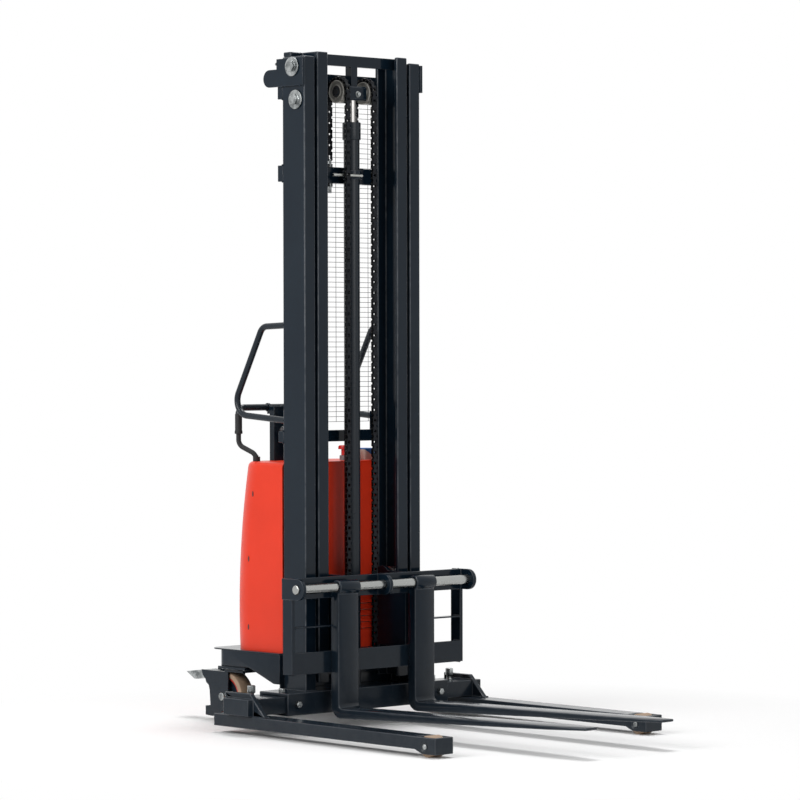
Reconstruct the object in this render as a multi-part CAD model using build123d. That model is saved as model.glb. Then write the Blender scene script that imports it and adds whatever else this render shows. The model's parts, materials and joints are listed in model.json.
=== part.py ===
from build123d import *
import os

# Straddle stacker in millimetres. Forks point to -Y, +Z is up, and the machine is symmetrical about X = 0.
# Every piece is drawn with the mast's front face at Y = 0 and moved to the footprint's middle when saved.

# Mast channels
MAST_WIDTH = 464.0
CHANNEL_DEPTH = 98.0
CHANNEL_FLANGE = 41.0
FLANGE_THICK = 12.0
WEB_THICK = 8.0
MAST_GAP = 11.0
OUTER_TOP = 1985.0
INNER_TOP = 2000.0
INNER_FOOT_GAP = 20.0
STOP_EAR_LENGTH = 48.0
STOP_EAR_DEPTH = 33.0
STOP_SEAT = 0.3

# Guide rollers and pins
ROLLER_CLEAR = 0.5
ROLLER_WIDTH = 29.0
ROLLER_ROUND = 2.0
PIN_RADIUS = 12.0
RUNNING_FIT = 0.06
INNER_ROLLER_LIFT = 70.0

# Crossmembers on the rear face of the outer mast
CROSS_DEPTH = 22.0
TOP_CROSS = (1862.0, 1945.0)
CHAIN_CROSS = (1619.0, 1667.0)
LOWER_CROSS_HEIGHT = 34.0
LOWER_CROSS_GAP = 24.0
ANCHOR_LUG_HALF = 75.0
ANCHOR_LUG_DEPTH = 18.0

# Side plates, guide pads and their bolts at the mast's head
HEAD_PLATE_THICK = 10.0
HEAD_PLATE_FRONT = 3.0
HEAD_PLATE_REAR = 114.0
HEAD_PLATE_FOOT = 1898.0
HEAD_PLATE_TOP = 1980.0
HEAD_TAB_REACH = 173.5
HEAD_TAB_TOP = 1950.0
PAD_BOLTS = ((41.0, 1954.0), (37.0, 1858.0))
PAD_DISC_RADIUS = 28.5
PAD_DISC_THICK = 5.0
PAD_SHANK_RADIUS = 10.0
PAD_NUT_RADIUS = 17.0
PAD_NUT_THICK = 9.0
PAD_WIDTH = 46.0
PAD_HEIGHT = 60.0
PAD_SEAT = 0.3

# Inner mast head and lower crossmember
BEAM_FRONT = 37.0
BEAM_THICK = 14.0
BEAM_FOOT = 1965.0
BEAM_TOP = 1998.0
POST_HALF = 12.5
POST_DEPTH = 27.0
INNER_CROSS_GAP = 3.0
INNER_CROSS_DEPTH = 17.0
INNER_CROSS_FOOT = 150.0
INNER_CROSS_HEIGHT = 37.0
PORT_NOTCH_HALF = 16.0
PORT_NOTCH_GAP = 4.0

# Lift cylinder
CYLINDER_RADIUS = 24.0
CYLINDER_BORE = 19.0
CYLINDER_BASE = 34.0
CYLINDER_TOP = 1748.0
GLAND_RADIUS = 27.5
GLAND_TOP = 1801.0
GLAND_CHAMFER = 2.0
ROD_RADIUS = 14.0
ROD_FOOT = 240.0
PISTON_HEIGHT = 45.0
PORT_RADIUS = 10.0
PORT_LENGTH = 32.0
PORT_Z = 160.0
CLAMP_Z = (1631.0, 1656.0)
CLAMP_RIM = 6.0
CLAMP_ARM_HALF = 12.0

# Crosshead, pulleys and leaf chains
HEAD_BLOCK_HALF = 40.0
HEAD_BLOCK_DEPTH = 47.0
HEAD_BLOCK_FOOT = 1866.0
HEAD_BLOCK_TOP = 1908.0
HEAD_BLOCK_CHAMFER = 4.0
PULLEY_Y = 50.5
PULLEY_Z = 1890.0
PULLEY_WIDTH = 20.0
PULLEY_RADIUS = 34.0
CHAIN_X = 52.7
CHAIN_WIDTH = 17.0
CHAIN_THICK = 12.0
CHAIN_SEAT = 0.3
ANCHOR_TOP = 1692.0
ANCHOR_FOOT = 1590.0
ANCHOR_RADIUS = 6.0
ANCHOR_NUT_RADIUS = 10.0
ANCHOR_NUT_HEIGHT = 10.0

# Mesh guard
NET_HALF_WIDTH = 205.0
NET_FOOT = 905.0
NET_TOP = 1925.0
NET_THICK = 4.0
NET_COLUMNS = 9
NET_ROWS = 33
NET_BAR = 4.0
NET_STRAP_HALF = 12.0
NET_STRAP_X = 150.0

# Sleeve beam and straddle legs
SLEEVE_LENGTH = 648.0
SLEEVE_DEPTH = 128.0
SLEEVE_HEIGHT = 66.0
SLEEVE_WALL = 8.0
SLEEVE_FOOT = 50.0
SLEEVE_FRONT = -25.0
SLIDE_CLEAR = 0.5
CROSSBAR_INNER = 110.0
CROSSBAR_OVERHANG = 15.0
CROSSBAR_WALL = 7.0
FRONT_BOLT_X = 287.0
TOP_BOLT_X = 304.0
TOP_BOLT_Y = 25.0
CLAMP_BOLT_RADIUS = 6.0
CLAMP_HEAD_RADIUS = 10.0
CLAMP_HEAD_HEIGHT = 12.0
STOP_BOLT_INSET = 56.0
STOP_BOLT_Y = 50.0
STOP_BOLT_RADIUS = 8.0
STOP_BOLT_HEAD = 13.0
STOP_BOLT_GRIP = 12.0
STOP_BOLT_HEIGHT = 34.0
LEG_OUTER = 456.0
LEG_WIDTH = 69.0
LEG_FOOT = 21.0
LEG_TOP = 57.0
LEG_REACH = 789.0
LEG_TAIL = 155.0
LEG_WALL = 8.0
LEG_END_WALL = 8.0
GUSSET_INSET = 14.0
GUSSET_THICK = 16.0
GUSSET_TOP = 123.0
GUSSET_REAR = 110.0
GUSSET_TOP_FRONT = 1.0
GUSSET_TOE = 67.0
LOAD_WHEEL_RADIUS = 30.0
LOAD_WHEEL_WIDTH = 50.0
LOAD_WHEEL_ROUND = 2.5
LOAD_WHEEL_SETBACK = 44.5
LOAD_AXLE_RADIUS = 8.0
LOAD_AXLE_CHAMFER = 0.8
WHEEL_POCKET_HALF = 35.0
NOSE_DROP = 11.0
NOSE_LENGTH = 83.0
NOSE_SLOPE = 28.0
AXLE_RECESS_RADIUS = 13.0
AXLE_RECESS_DEPTH = 2.0

# Chassis tray, deck and casters
CHASSIS_HALF = 250.0
CHASSIS_REAR = 388.0
CHASSIS_WALL = 5.0
CHASSIS_CORNER = 35.0
CHASSIS_FOOT = 172.0
CHASSIS_NOSE_FOOT = 130.0
CHASSIS_NOSE_END = 126.0
CHASSIS_SLOPE_END = 240.0
FRONT_WALL_THICK = 6.0
DECK_TOP = 222.0
DECK_THICK = 4.0
DECK_HALF = 252.0
DECK_REAR = 419.0
DECK_CORNER = 34.0
CASTER_X = 205.0
CASTER_Y = 320.0
CASTER_TRAIL = 50.0
CASTER_WHEEL_RADIUS = 75.0
CASTER_WHEEL_WIDTH = 50.0
CASTER_WHEEL_ROUND = 5.0
CASTER_DISH_RADIUS = 54.0
CASTER_DISH_DEPTH = 8.0
CASTER_HUB_RADIUS = 19.0
CASTER_PLATE_WIDTH = 90.0
CASTER_PLATE_LENGTH = 124.0
CASTER_PLATE_THICK = 7.0
CASTER_PAD_THICK = 8.0
CASTER_PAD_DROP = 4.0
CASTER_AXLE_RADIUS = 8.0
KINGPIN_RADIUS = 12.0
KINGPIN_CLEAR = 2.0
RACE_RADIUS = 38.0
RACE_HEIGHT = 1.7
RACE_SEAT = 0.3
CROWN_THICK = 8.0
CROWN_INSET = 2.0
YOKE_THICK = 6.0
YOKE_GAP = 4.0
YOKE_REACH = 152.0
YOKE_NOSE = 28.0
YOKE_REAR_STEPS = ((-6.0, -17.0), (-18.0, -28.0), (-22.0, -38.0), (-34.0, -46.0), (-38.0, -60.0))
YOKE_FOOT_STEPS = ((-42.0, -30.0), (-19.0, -33.0), (-19.0, -61.0), (-52.0, -63.0))
YOKE_FRONT_STEPS = ((24.0, -44.0), (0.0, -18.0))
AXLE_HEAD_RADIUS = 12.0
AXLE_HEAD_HEIGHT = 8.0
PEDAL_PIVOT_Y = 137.0
PEDAL_PIVOT_Z = 138.0
PEDAL_PIN_RADIUS = 5.0
PEDAL_REACH = 238.0
PEDAL_HALF = 24.0
PEDAL_ROOT = ((14.0, -12.0), (-11.0, -9.0), (-11.0, 8.0), (14.0, 12.0))
PEDAL_TREAD = ((0.0, 1.0), (-38.0, -20.0), (-58.0, -19.0))

# Carriage, shaft and forks
RAIL_FRONT = -68.0
RAIL_THICK = 12.0
RAIL_FOOT = 394.0
RAIL_HEIGHT = 62.0
CARRIAGE_HALF = 349.0
END_PLATE_THICK = 12.0
SIDE_PLATE_HALF = 345.0
SIDE_PLATE_DEPTH = 41.0
LOWER_PLATE_FOOT = 174.0
LOWER_PLATE_HEIGHT = 64.0
THIN_BAR_FOOT = 309.0
THIN_BAR_THICK = 4.5
THIN_BAR_DEPTH = 27.0
SHAFT_FORWARD = 25.0
SHAFT_RADIUS = 14.0
SHAFT_HALF = 355.0
SHAFT_DOME = 4.0
MID_PLATE_X = -6.0
ROLLER_PLATE_THICK = 12.0
ROLLER_PLATE_GAP = 9.0
ROLLER_PLATE_FOOT = 230.0
ROLLER_PLATE_TOP = 470.0
ROLLER_PLATE_REAR = 78.0
CARRIAGE_ROLLERS = (270.0, 430.0)
CHAIN_LUG_HALF = 17.0
CHAIN_LUG_REAR = 24.0
CHAIN_LUG_FOOT = 208.0
CHAIN_LUG_TOP = 232.0
FORK_X = 154.0
FORK_WIDTH = 80.0
FORK_SHANK = 34.0
FORK_HEEL_TOP = 68.8
FORK_HEEL_THICK = 30.0
FORK_REACH = 1091.0
FORK_TIP_TOP = 88.0
FORK_TIP_THICK = 8.0
FORK_TIP_WIDTH = 46.0
FORK_TAPER_LENGTH = 130.0
FORK_EYE_RADIUS = 21.0
FORK_HEEL_OUTER = 40.0
FORK_HEEL_INNER = 14.0
FORK_SEAT = 0.3

# Cover, column, handle and controls
COVER_HALF = 230.0
COVER_FRONT = 106.0
COVER_TOP = 787.0
COVER_WALL = 3.0
COVER_REAR_FOOT = 368.0
COVER_REAR_MIDDLE = 371.0
COVER_MIDDLE_Z = 400.0
COVER_REAR_TOP = 327.0
COVER_CORNER = 108.0
COVER_TOP_ROUND = 16.0
PANEL_SETBACK = 4.0
PANEL_THICK = 3.0
LOUVRE_COUNT = 5
LOUVRE_X = 127.0
LOUVRE_LENGTH = 120.0
LOUVRE_HEIGHT = 6.0
LOUVRE_FOOT = 277.0
LOUVRE_PITCH = 19.0
COLUMN_HALF = 104.0
COLUMN_FRONT = 288.0
COLUMN_DEPTH = 21.0
COLUMN_TOP = 952.0
COLUMN_WALL = 4.0
HANDLE_Y = 330.0
HANDLE_Z = 948.0
HANDLE_RADIUS = 10.0
HANDLE_REACH = 209.0
HANDLE_BEND = 22.0
HANDLE_STUB = 4.0
HANDLE_EYE_RADIUS = 13.0
HANDLE_BRACKET_X = 92.0
HANDLE_BRACKET_THICK = 8.0
GRIP_RADIUS = 12.0
GRIP_FOOT = 869.0
GRIP_LENGTH = 62.0
GRIP_END_WALL = 2.0
GRIP_ROUND = 2.0
CABLE_RADIUS = 7.5
CABLE_BEND = 26.0
CABLE_ROUTE = ((-209.0, 330.0, 869.0), (-209.0, 330.0, 836.0), (-190.0, 284.0, 812.0), (-186.0, 274.0, 799.0))
CABLE_GLAND_RADIUS = 11.0
CABLE_GLAND_HEIGHT = 14.0
ESTOP_X = 82.0
ESTOP_Y = 175.0
ESTOP_BASE_RADIUS = 16.0
ESTOP_BASE_HEIGHT = 15.0
ESTOP_BASE_CHAMFER = 2.0
ESTOP_FLOOR = 2.0
ESTOP_STEM_RADIUS = 11.0
ESTOP_CAP_RADIUS = 20.0
ESTOP_CAP_HEIGHT = 12.0
ESTOP_CAP_ROUND = 6.0
ESTOP_STEM_SHOW = 10.0
ESTOP_STROKE = 8.0
POD_X = 166.0
POD_Y = 175.0
POD_WIDTH = 42.0
POD_DEPTH = 40.0
POD_HEIGHT = 33.0
POD_ROUND = 5.0
KEY_X = -72.0
KEY_Z = 879.0
KEY_RADIUS = 11.0
KEY_STEM_RADIUS = 6.6
KEY_BARREL_LENGTH = 7.0
KEY_BLADE = (5.0, 20.0, 26.0)
ROCKER_Z = 905.0
ROCKER_WIDTH = 22.0
ROCKER_HEIGHT = 40.0
ROCKER_DEPTH = 9.0
ROCKER_EDGE = 5.0
ROCKER_DISH = 3.0
RAIL_INSET = 10.0
RAIL_RADIUS = 9.5
RAIL_UPPER_Z = 1194.5
RAIL_UPPER_BEND = (203.0, 1191.0)
RAIL_LOWER_BEND = (349.0, 930.0)
RAIL_LOWER_Z = 912.5
RAIL_BENDS = (34.0, 46.0)

# Power unit under the cover
BATTERY_SIZE = (166.0, 150.0, 220.0)
BATTERY_ROUND = 6.0
BATTERY_X = -139.0
BATTERY_Y = 196.0
TERMINAL_RADIUS = 9.0
TERMINAL_HEIGHT = 14.0
TERMINAL_INSET = 16.0
CHARGER_SIZE = (140.0, 100.0, 70.0)
CHARGER_SETBACK = 20.0
VALVE_SIZE = (90.0, 90.0, 80.0)
VALVE_Y = 170.0
VALVE_CHAMFER = 4.0
MOTOR_RADIUS = 54.0
MOTOR_HEIGHT = 190.0
MOTOR_ROUND = 8.0
TANK_SIZE = (160.0, 170.0, 260.0)
TANK_X = 138.0
TANK_Y = 208.0
TANK_ROUND = 14.0
FILLER_RADIUS = 17.0
FILLER_HEIGHT = 18.0
HOSE_RADIUS = 7.0
HOSE_BEND = 50.0
HOSE_HOLE = 11.0

# Places worked out from the sizes above
OUTER_X = MAST_WIDTH / 2
OUTER_TIP = OUTER_X - CHANNEL_FLANGE
INNER_X = OUTER_TIP - MAST_GAP
RAIL_X = OUTER_X - RAIL_INSET
INNER_TIP = INNER_X - CHANNEL_FLANGE
TRACK_Y = CHANNEL_DEPTH / 2
ROLLER_RADIUS = CHANNEL_DEPTH / 2 - FLANGE_THICK - ROLLER_CLEAR
CROSS_REAR = CHANNEL_DEPTH + CROSS_DEPTH
SLEEVE_TOP = SLEEVE_FOOT + SLEEVE_HEIGHT
SLEEVE_REAR = SLEEVE_FRONT + SLEEVE_DEPTH
INNER_FOOT = SLEEVE_TOP + INNER_FOOT_GAP
DECK_FOOT = DECK_TOP - DECK_THICK
LEG_INNER = LEG_OUTER - LEG_WIDTH
CROSSBAR_OUTER = LEG_OUTER + CROSSBAR_OVERHANG
GUSSET_CENTRE = LEG_OUTER - GUSSET_INSET
STOP_BOLT_X = LEG_OUTER - STOP_BOLT_INSET
LOAD_AXLE_Y = LOAD_WHEEL_SETBACK - LEG_REACH
RAIL_REAR = RAIL_FRONT + RAIL_THICK
SHAFT_Y = RAIL_FRONT - SHAFT_FORWARD
SHAFT_Z = RAIL_FOOT + RAIL_HEIGHT / 2
FORK_BACK = RAIL_FRONT - FORK_SEAT
FORK_FRONT = FORK_BACK - FORK_SHANK
ROLLER_PLATE_OUTER = INNER_TIP - ROLLER_PLATE_GAP
CYLINDER_Y = PULLEY_Y
PORT_REACH = CYLINDER_Y + PORT_LENGTH
INNER_CROSS_FRONT = CYLINDER_Y + CYLINDER_RADIUS + INNER_CROSS_GAP
LOWER_CROSS_TOP = NET_FOOT - LOWER_CROSS_GAP
LOWER_CROSS = (LOWER_CROSS_TOP - LOWER_CROSS_HEIGHT, LOWER_CROSS_TOP)
CASTER_AXLE_Y = CASTER_Y + CASTER_TRAIL
CASTER_PAD_FOOT = CHASSIS_FOOT - CASTER_PAD_DROP
CASTER_PLATE_FOOT = CASTER_PAD_FOOT - CASTER_PLATE_THICK
CROWN_TOP = CASTER_PLATE_FOOT - RACE_SEAT - RACE_HEIGHT
CROWN_FOOT = CROWN_TOP - CROWN_THICK
YOKE_INNER = CASTER_WHEEL_WIDTH / 2 + YOKE_GAP
YOKE_OUTER = YOKE_INNER + YOKE_THICK
MAST_Y = (FORK_REACH - CASTER_Y - PEDAL_REACH) / 2


# Plain shapes that the pieces are cut from
def block(x0, x1, y0, y1, z0, z1):
    return Pos((x0 + x1) / 2, (y0 + y1) / 2, (z0 + z1) / 2) * Box(x1 - x0, y1 - y0, z1 - z0)


def rod_x(radius, x0, x1, y, z):
    return Pos((x0 + x1) / 2, y, z) * Rot(0, 90, 0) * Cylinder(radius, x1 - x0)


def rod_y(radius, y0, y1, x, z):
    return Pos(x, (y0 + y1) / 2, z) * Rot(90, 0, 0) * Cylinder(radius, y1 - y0)


def rod_z(radius, z0, z1, x, y):
    return Pos(x, y, (z0 + z1) / 2) * Cylinder(radius, z1 - z0)


def profile_x(points, x0, x1):
    face = Plane.YZ.offset(x0) * make_face(Polyline(*points, close=True))
    return extrude(face, amount=x1 - x0)


def plan(points, z0, z1):
    face = Plane.XY.offset(z0) * make_face(Polyline(*points, close=True))
    return extrude(face, amount=z1 - z0)


def other_side(piece):
    return mirror(piece, about=Plane.YZ)


def both_sides(piece):
    return Compound([piece, other_side(piece)])


def near(face, first, second):
    return face.vertices().sort_by_distance((first, second, 0))[0]


def tube(path, radius):
    return sweep(Plane(origin=path @ 0, z_dir=path % 0) * Circle(radius), path=path)


# Channel with its open side towards the middle, on the +X side
def channel(outer_x, foot, top):
    tip = outer_x - CHANNEL_FLANGE
    web = outer_x - WEB_THICK
    back = CHANNEL_DEPTH
    rear = CHANNEL_DEPTH - FLANGE_THICK
    points = [(tip, 0), (outer_x, 0), (outer_x, back), (tip, back)]
    points += [(tip, rear), (web, rear), (web, FLANGE_THICK), (tip, FLANGE_THICK)]
    return plan(points, foot, top)


# Outer mast: channels, crossmembers, head plates, pads and bolts
def outer_mast():
    side = channel(OUTER_X, SLEEVE_TOP, OUTER_TOP)
    for y, z in PAD_BOLTS:
        side -= rod_x(PAD_SHANK_RADIUS, OUTER_X - 2 * WEB_THICK, OUTER_X + WEB_THICK, y, z)
    return both_sides(side)


def outer_crossmembers():
    bars = []
    for foot, top in (TOP_CROSS, LOWER_CROSS):
        bars.append(block(-OUTER_X, OUTER_X, CHANNEL_DEPTH, CROSS_REAR, foot, top))
    foot, top = CHAIN_CROSS
    bar = block(-OUTER_X, OUTER_X, CHANNEL_DEPTH, CROSS_REAR, foot, top)
    lug = block(-ANCHOR_LUG_HALF, ANCHOR_LUG_HALF, CHANNEL_DEPTH - ANCHOR_LUG_DEPTH, CHANNEL_DEPTH, foot, top)
    bar = bar + lug
    for x in (-CHAIN_X, CHAIN_X):
        bar -= rod_z(ANCHOR_RADIUS, foot - 1, top + 1, x, chain_rear_y())
    return Compound(bars + [bar])


def mast_side_plates():
    x0 = OUTER_X
    x1 = OUTER_X + HEAD_PLATE_THICK
    tab_radius = (HEAD_TAB_TOP - HEAD_PLATE_FOOT) / 2
    tab_z = (HEAD_TAB_TOP + HEAD_PLATE_FOOT) / 2
    tab_y = HEAD_TAB_REACH - tab_radius
    plate = block(x0, x1, -HEAD_PLATE_FRONT, HEAD_PLATE_REAR, HEAD_PLATE_FOOT, HEAD_PLATE_TOP)
    plate += block(x0, x1, HEAD_PLATE_REAR, tab_y, HEAD_PLATE_FOOT, HEAD_TAB_TOP)
    plate += rod_x(tab_radius, x0, x1, tab_y, tab_z)
    y, z = PAD_BOLTS[0]
    plate -= rod_x(PAD_SHANK_RADIUS, x0 - 1, x1 + 1, y, z)
    return both_sides(plate)


def pad_seats():
    return ((PAD_BOLTS[0], OUTER_X + HEAD_PLATE_THICK), (PAD_BOLTS[1], OUTER_X))


def guide_pads():
    pads = []
    for (y, z), seat in pad_seats():
        x0 = INNER_X + PAD_SEAT
        x1 = OUTER_X - WEB_THICK
        pad = block(x0, x1, y - PAD_WIDTH / 2, y + PAD_WIDTH / 2, z - PAD_HEIGHT / 2, z + PAD_HEIGHT / 2)
        pad -= rod_x(PAD_SHANK_RADIUS, (x0 + x1) / 2, x1 + 1, y, z)
        pads += [pad, other_side(pad)]
    return Compound(pads)


def guide_bolts():
    bolts = []
    for (y, z), seat in pad_seats():
        inner_end = (INNER_X + PAD_SEAT + OUTER_X - WEB_THICK) / 2
        bolt = rod_x(PAD_SHANK_RADIUS, inner_end, seat, y, z)
        bolt += rod_x(PAD_DISC_RADIUS, seat, seat + PAD_DISC_THICK, y, z)
        nut = Plane.YZ.offset(seat + PAD_DISC_THICK) * Pos(y, z) * RegularPolygon(PAD_NUT_RADIUS, 6)
        bolt += extrude(nut, amount=PAD_NUT_THICK)
        bolts += [bolt, other_side(bolt)]
    return Compound(bolts)


# Inner mast: channels with stop ears and roller pins, top beam with its post, lower crossmember
def inner_roller_z():
    return INNER_FOOT + INNER_ROLLER_LIFT


def roller_span(outer_x):
    middle = outer_x - (CHANNEL_FLANGE + WEB_THICK) / 2
    return middle - ROLLER_WIDTH / 2, middle + ROLLER_WIDTH / 2


def inner_mast():
    side = channel(INNER_X, INNER_FOOT, INNER_TOP)
    ear_tip = INNER_X + STOP_EAR_LENGTH
    ear_front = CHANNEL_DEPTH - STOP_EAR_DEPTH
    side += block(INNER_X, ear_tip, ear_front, CHANNEL_DEPTH, OUTER_TOP + STOP_SEAT, INNER_TOP)
    side += rod_x(PIN_RADIUS, INNER_X, roller_span(OUTER_X)[1], TRACK_Y, inner_roller_z())
    return both_sides(side)


def inner_crossmembers():
    reach = INNER_X - WEB_THICK
    beam = block(-reach, reach, BEAM_FRONT, BEAM_FRONT + BEAM_THICK, BEAM_FOOT, BEAM_TOP)
    beam += block(-POST_HALF, POST_HALF, BEAM_FRONT, BEAM_FRONT + POST_DEPTH, HEAD_BLOCK_TOP, BEAM_TOP)
    rear = INNER_CROSS_FRONT + INNER_CROSS_DEPTH
    top = INNER_CROSS_FOOT + INNER_CROSS_HEIGHT
    lower = block(-INNER_TIP, INNER_TIP, INNER_CROSS_FRONT, rear, INNER_CROSS_FOOT, top)
    notch_top = PORT_Z + PORT_RADIUS + PORT_NOTCH_GAP
    half = PORT_NOTCH_HALF
    lower -= block(-half, half, INNER_CROSS_FRONT - 1, rear + 1, INNER_CROSS_FOOT - 1, notch_top)
    return Compound([beam, lower])


def roller_pair(x_span, y, z):
    x0, x1 = x_span
    roller = rod_x(ROLLER_RADIUS, x0, x1, y, z)
    roller = fillet(roller.edges().filter_by(GeomType.CIRCLE), ROLLER_ROUND)
    roller -= rod_x(PIN_RADIUS + RUNNING_FIT, x0 - 1, x1 + 1, y, z)
    return both_sides(roller)


# Lift cylinder: tube, gland, rod with its piston, clamp on the chain crossmember
def lift_cylinder():
    body = rod_z(CYLINDER_RADIUS, SLEEVE_TOP, CYLINDER_TOP, 0, CYLINDER_Y)
    body += rod_y(PORT_RADIUS, CYLINDER_Y, PORT_REACH, 0, PORT_Z)
    return body - rod_z(CYLINDER_BORE, SLEEVE_TOP + CYLINDER_BASE, CYLINDER_TOP + 1, 0, CYLINDER_Y)


def cylinder_gland():
    gland = rod_z(GLAND_RADIUS, CYLINDER_TOP, GLAND_TOP, 0, CYLINDER_Y)
    gland = chamfer(gland.edges().filter_by(GeomType.CIRCLE), GLAND_CHAMFER)
    return gland - rod_z(ROD_RADIUS + RUNNING_FIT, CYLINDER_TOP - 1, GLAND_TOP + 1, 0, CYLINDER_Y)


def piston_rod():
    rod = rod_z(ROD_RADIUS, ROD_FOOT, HEAD_BLOCK_FOOT, 0, CYLINDER_Y)
    return rod + rod_z(CYLINDER_BORE - RUNNING_FIT, ROD_FOOT, ROD_FOOT + PISTON_HEIGHT, 0, CYLINDER_Y)


def cylinder_clamp():
    foot, top = CLAMP_Z
    rear = CHANNEL_DEPTH - ANCHOR_LUG_DEPTH
    clamp = rod_z(CYLINDER_RADIUS + CLAMP_RIM, foot, top, 0, CYLINDER_Y)
    clamp += block(-CLAMP_ARM_HALF, CLAMP_ARM_HALF, CYLINDER_Y, rear, foot, top)
    reach = CYLINDER_RADIUS + CLAMP_RIM
    clamp -= block(-reach, reach, rear, rear + reach, foot - 1, top + 1)
    return clamp - rod_z(CYLINDER_RADIUS, foot - 1, top + 1, 0, CYLINDER_Y)


# Crosshead with the pulley axle, pulleys, chains and chain anchors
def chain_radius():
    return PULLEY_RADIUS + CHAIN_SEAT + CHAIN_THICK / 2


def chain_front_y():
    return PULLEY_Y - chain_radius()


def chain_rear_y():
    return PULLEY_Y + chain_radius()


def crosshead():
    half = HEAD_BLOCK_HALF
    front = PULLEY_Y - HEAD_BLOCK_DEPTH / 2
    head = block(-half, half, front, front + HEAD_BLOCK_DEPTH, HEAD_BLOCK_FOOT, HEAD_BLOCK_TOP)
    head = chamfer(head.edges().filter_by(Axis.X), HEAD_BLOCK_CHAMFER)
    end = CHAIN_X + PULLEY_WIDTH / 2
    return head + rod_x(PIN_RADIUS, -end, end, PULLEY_Y, PULLEY_Z)


def chain_pulleys():
    x0 = CHAIN_X - PULLEY_WIDTH / 2
    x1 = CHAIN_X + PULLEY_WIDTH / 2
    pulley = rod_x(PULLEY_RADIUS, x0, x1, PULLEY_Y, PULLEY_Z)
    pulley -= rod_x(PIN_RADIUS + RUNNING_FIT, x0 - 1, x1 + 1, PULLEY_Y, PULLEY_Z)
    return both_sides(pulley)


def chain_run(y, z0, z1):
    half = CHAIN_WIDTH / 2
    return block(CHAIN_X - half, CHAIN_X + half, y - CHAIN_THICK / 2, y + CHAIN_THICK / 2, z0, z1)


def front_chains():
    half = CHAIN_WIDTH / 2
    x0 = CHAIN_X - half
    x1 = CHAIN_X + half
    ring = rod_x(chain_radius() + CHAIN_THICK / 2, x0, x1, PULLEY_Y, PULLEY_Z)
    ring -= rod_x(PULLEY_RADIUS + CHAIN_SEAT, x0 - 1, x1 + 1, PULLEY_Y, PULLEY_Z)
    reach = chain_radius() + CHAIN_THICK
    ring -= block(x0 - 1, x1 + 1, PULLEY_Y - reach, PULLEY_Y + reach, PULLEY_Z - reach, PULLEY_Z)
    return both_sides(ring + chain_run(chain_front_y(), CHAIN_LUG_TOP, PULLEY_Z))


def rear_chains():
    return both_sides(chain_run(chain_rear_y(), ANCHOR_TOP, PULLEY_Z))


def chain_anchors():
    foot, top = CHAIN_CROSS
    rear_y = chain_rear_y()
    anchor = rod_z(ANCHOR_RADIUS, ANCHOR_FOOT, ANCHOR_TOP, CHAIN_X, rear_y)
    for z in (foot - ANCHOR_NUT_HEIGHT, top):
        nut = Plane.XY.offset(z) * Pos(CHAIN_X, rear_y) * RegularPolygon(ANCHOR_NUT_RADIUS, 6)
        anchor += extrude(nut, amount=ANCHOR_NUT_HEIGHT)
    return both_sides(anchor)


# Mesh guard: one sheet with a grid of gaps, hung on the crossmembers by straps
def mesh_guard():
    width = 2 * NET_HALF_WIDTH
    height = NET_TOP - NET_FOOT
    pitch_x = (width - NET_BAR) / NET_COLUMNS
    pitch_z = (height - NET_BAR) / NET_ROWS
    middle = (NET_TOP + NET_FOOT) / 2
    strap_foot = sum(LOWER_CROSS) / 2 - middle
    edge = [(-NET_HALF_WIDTH, height / 2), (-NET_HALF_WIDTH, -height / 2)]
    for x in (-NET_STRAP_X, NET_STRAP_X):
        left = x - NET_STRAP_HALF
        right = x + NET_STRAP_HALF
        edge += [(left, -height / 2), (left, strap_foot), (right, strap_foot), (right, -height / 2)]
    edge += [(NET_HALF_WIDTH, -height / 2), (NET_HALF_WIDTH, height / 2)]
    gap = Rectangle(pitch_x - NET_BAR, pitch_z - NET_BAR)
    places = GridLocations(pitch_x, pitch_z, NET_COLUMNS, NET_ROWS)
    face = Face(Wire(Polyline(*edge, close=True)), [(at * gap).wire() for at in places])
    sheet = Plane(origin=(0, CROSS_REAR + NET_THICK, middle), x_dir=(1, 0, 0), z_dir=(0, -1, 0)) * face
    return extrude(sheet, amount=NET_THICK)


# Sleeve beam with its clamp bolts, and the legs that slide in it
def leg_sleeve():
    half = SLEEVE_LENGTH / 2
    wall = SLEEVE_WALL
    front = SLEEVE_FRONT
    rear = SLEEVE_REAR
    top = SLEEVE_TOP
    beam = block(-half, half, front, rear, SLEEVE_FOOT, top)
    beam -= block(-half - 1, half + 1, front + wall, rear - wall, SLEEVE_FOOT + wall, top - wall)
    for side in (-1, 1):
        beam -= rod_y(CLAMP_BOLT_RADIUS, front - 1, front + wall + 1, side * FRONT_BOLT_X, sleeve_middle())
        beam -= rod_z(CLAMP_BOLT_RADIUS, top - wall - 1, top + 1, side * TOP_BOLT_X, TOP_BOLT_Y)
    return beam


def sleeve_middle():
    return SLEEVE_FOOT + SLEEVE_HEIGHT / 2


def leg_clamp_bolts():
    bolts = []
    grip = SLEEVE_WALL + SLIDE_CLEAR / 2
    for side in (-1, 1):
        x = side * FRONT_BOLT_X
        bolt = rod_y(CLAMP_BOLT_RADIUS, SLEEVE_FRONT, SLEEVE_FRONT + grip, x, sleeve_middle())
        head = Plane.XZ.offset(-SLEEVE_FRONT) * Pos(x, sleeve_middle()) * RegularPolygon(CLAMP_HEAD_RADIUS, 6)
        bolts.append(bolt + extrude(head, amount=CLAMP_HEAD_HEIGHT))
        x = side * TOP_BOLT_X
        bolt = rod_z(CLAMP_BOLT_RADIUS, SLEEVE_TOP - grip, SLEEVE_TOP, x, TOP_BOLT_Y)
        head = Plane.XY.offset(SLEEVE_TOP) * Pos(x, TOP_BOLT_Y) * RegularPolygon(CLAMP_HEAD_RADIUS, 6)
        bolts.append(bolt + extrude(head, amount=CLAMP_HEAD_HEIGHT))
    return Compound(bolts)


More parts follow.
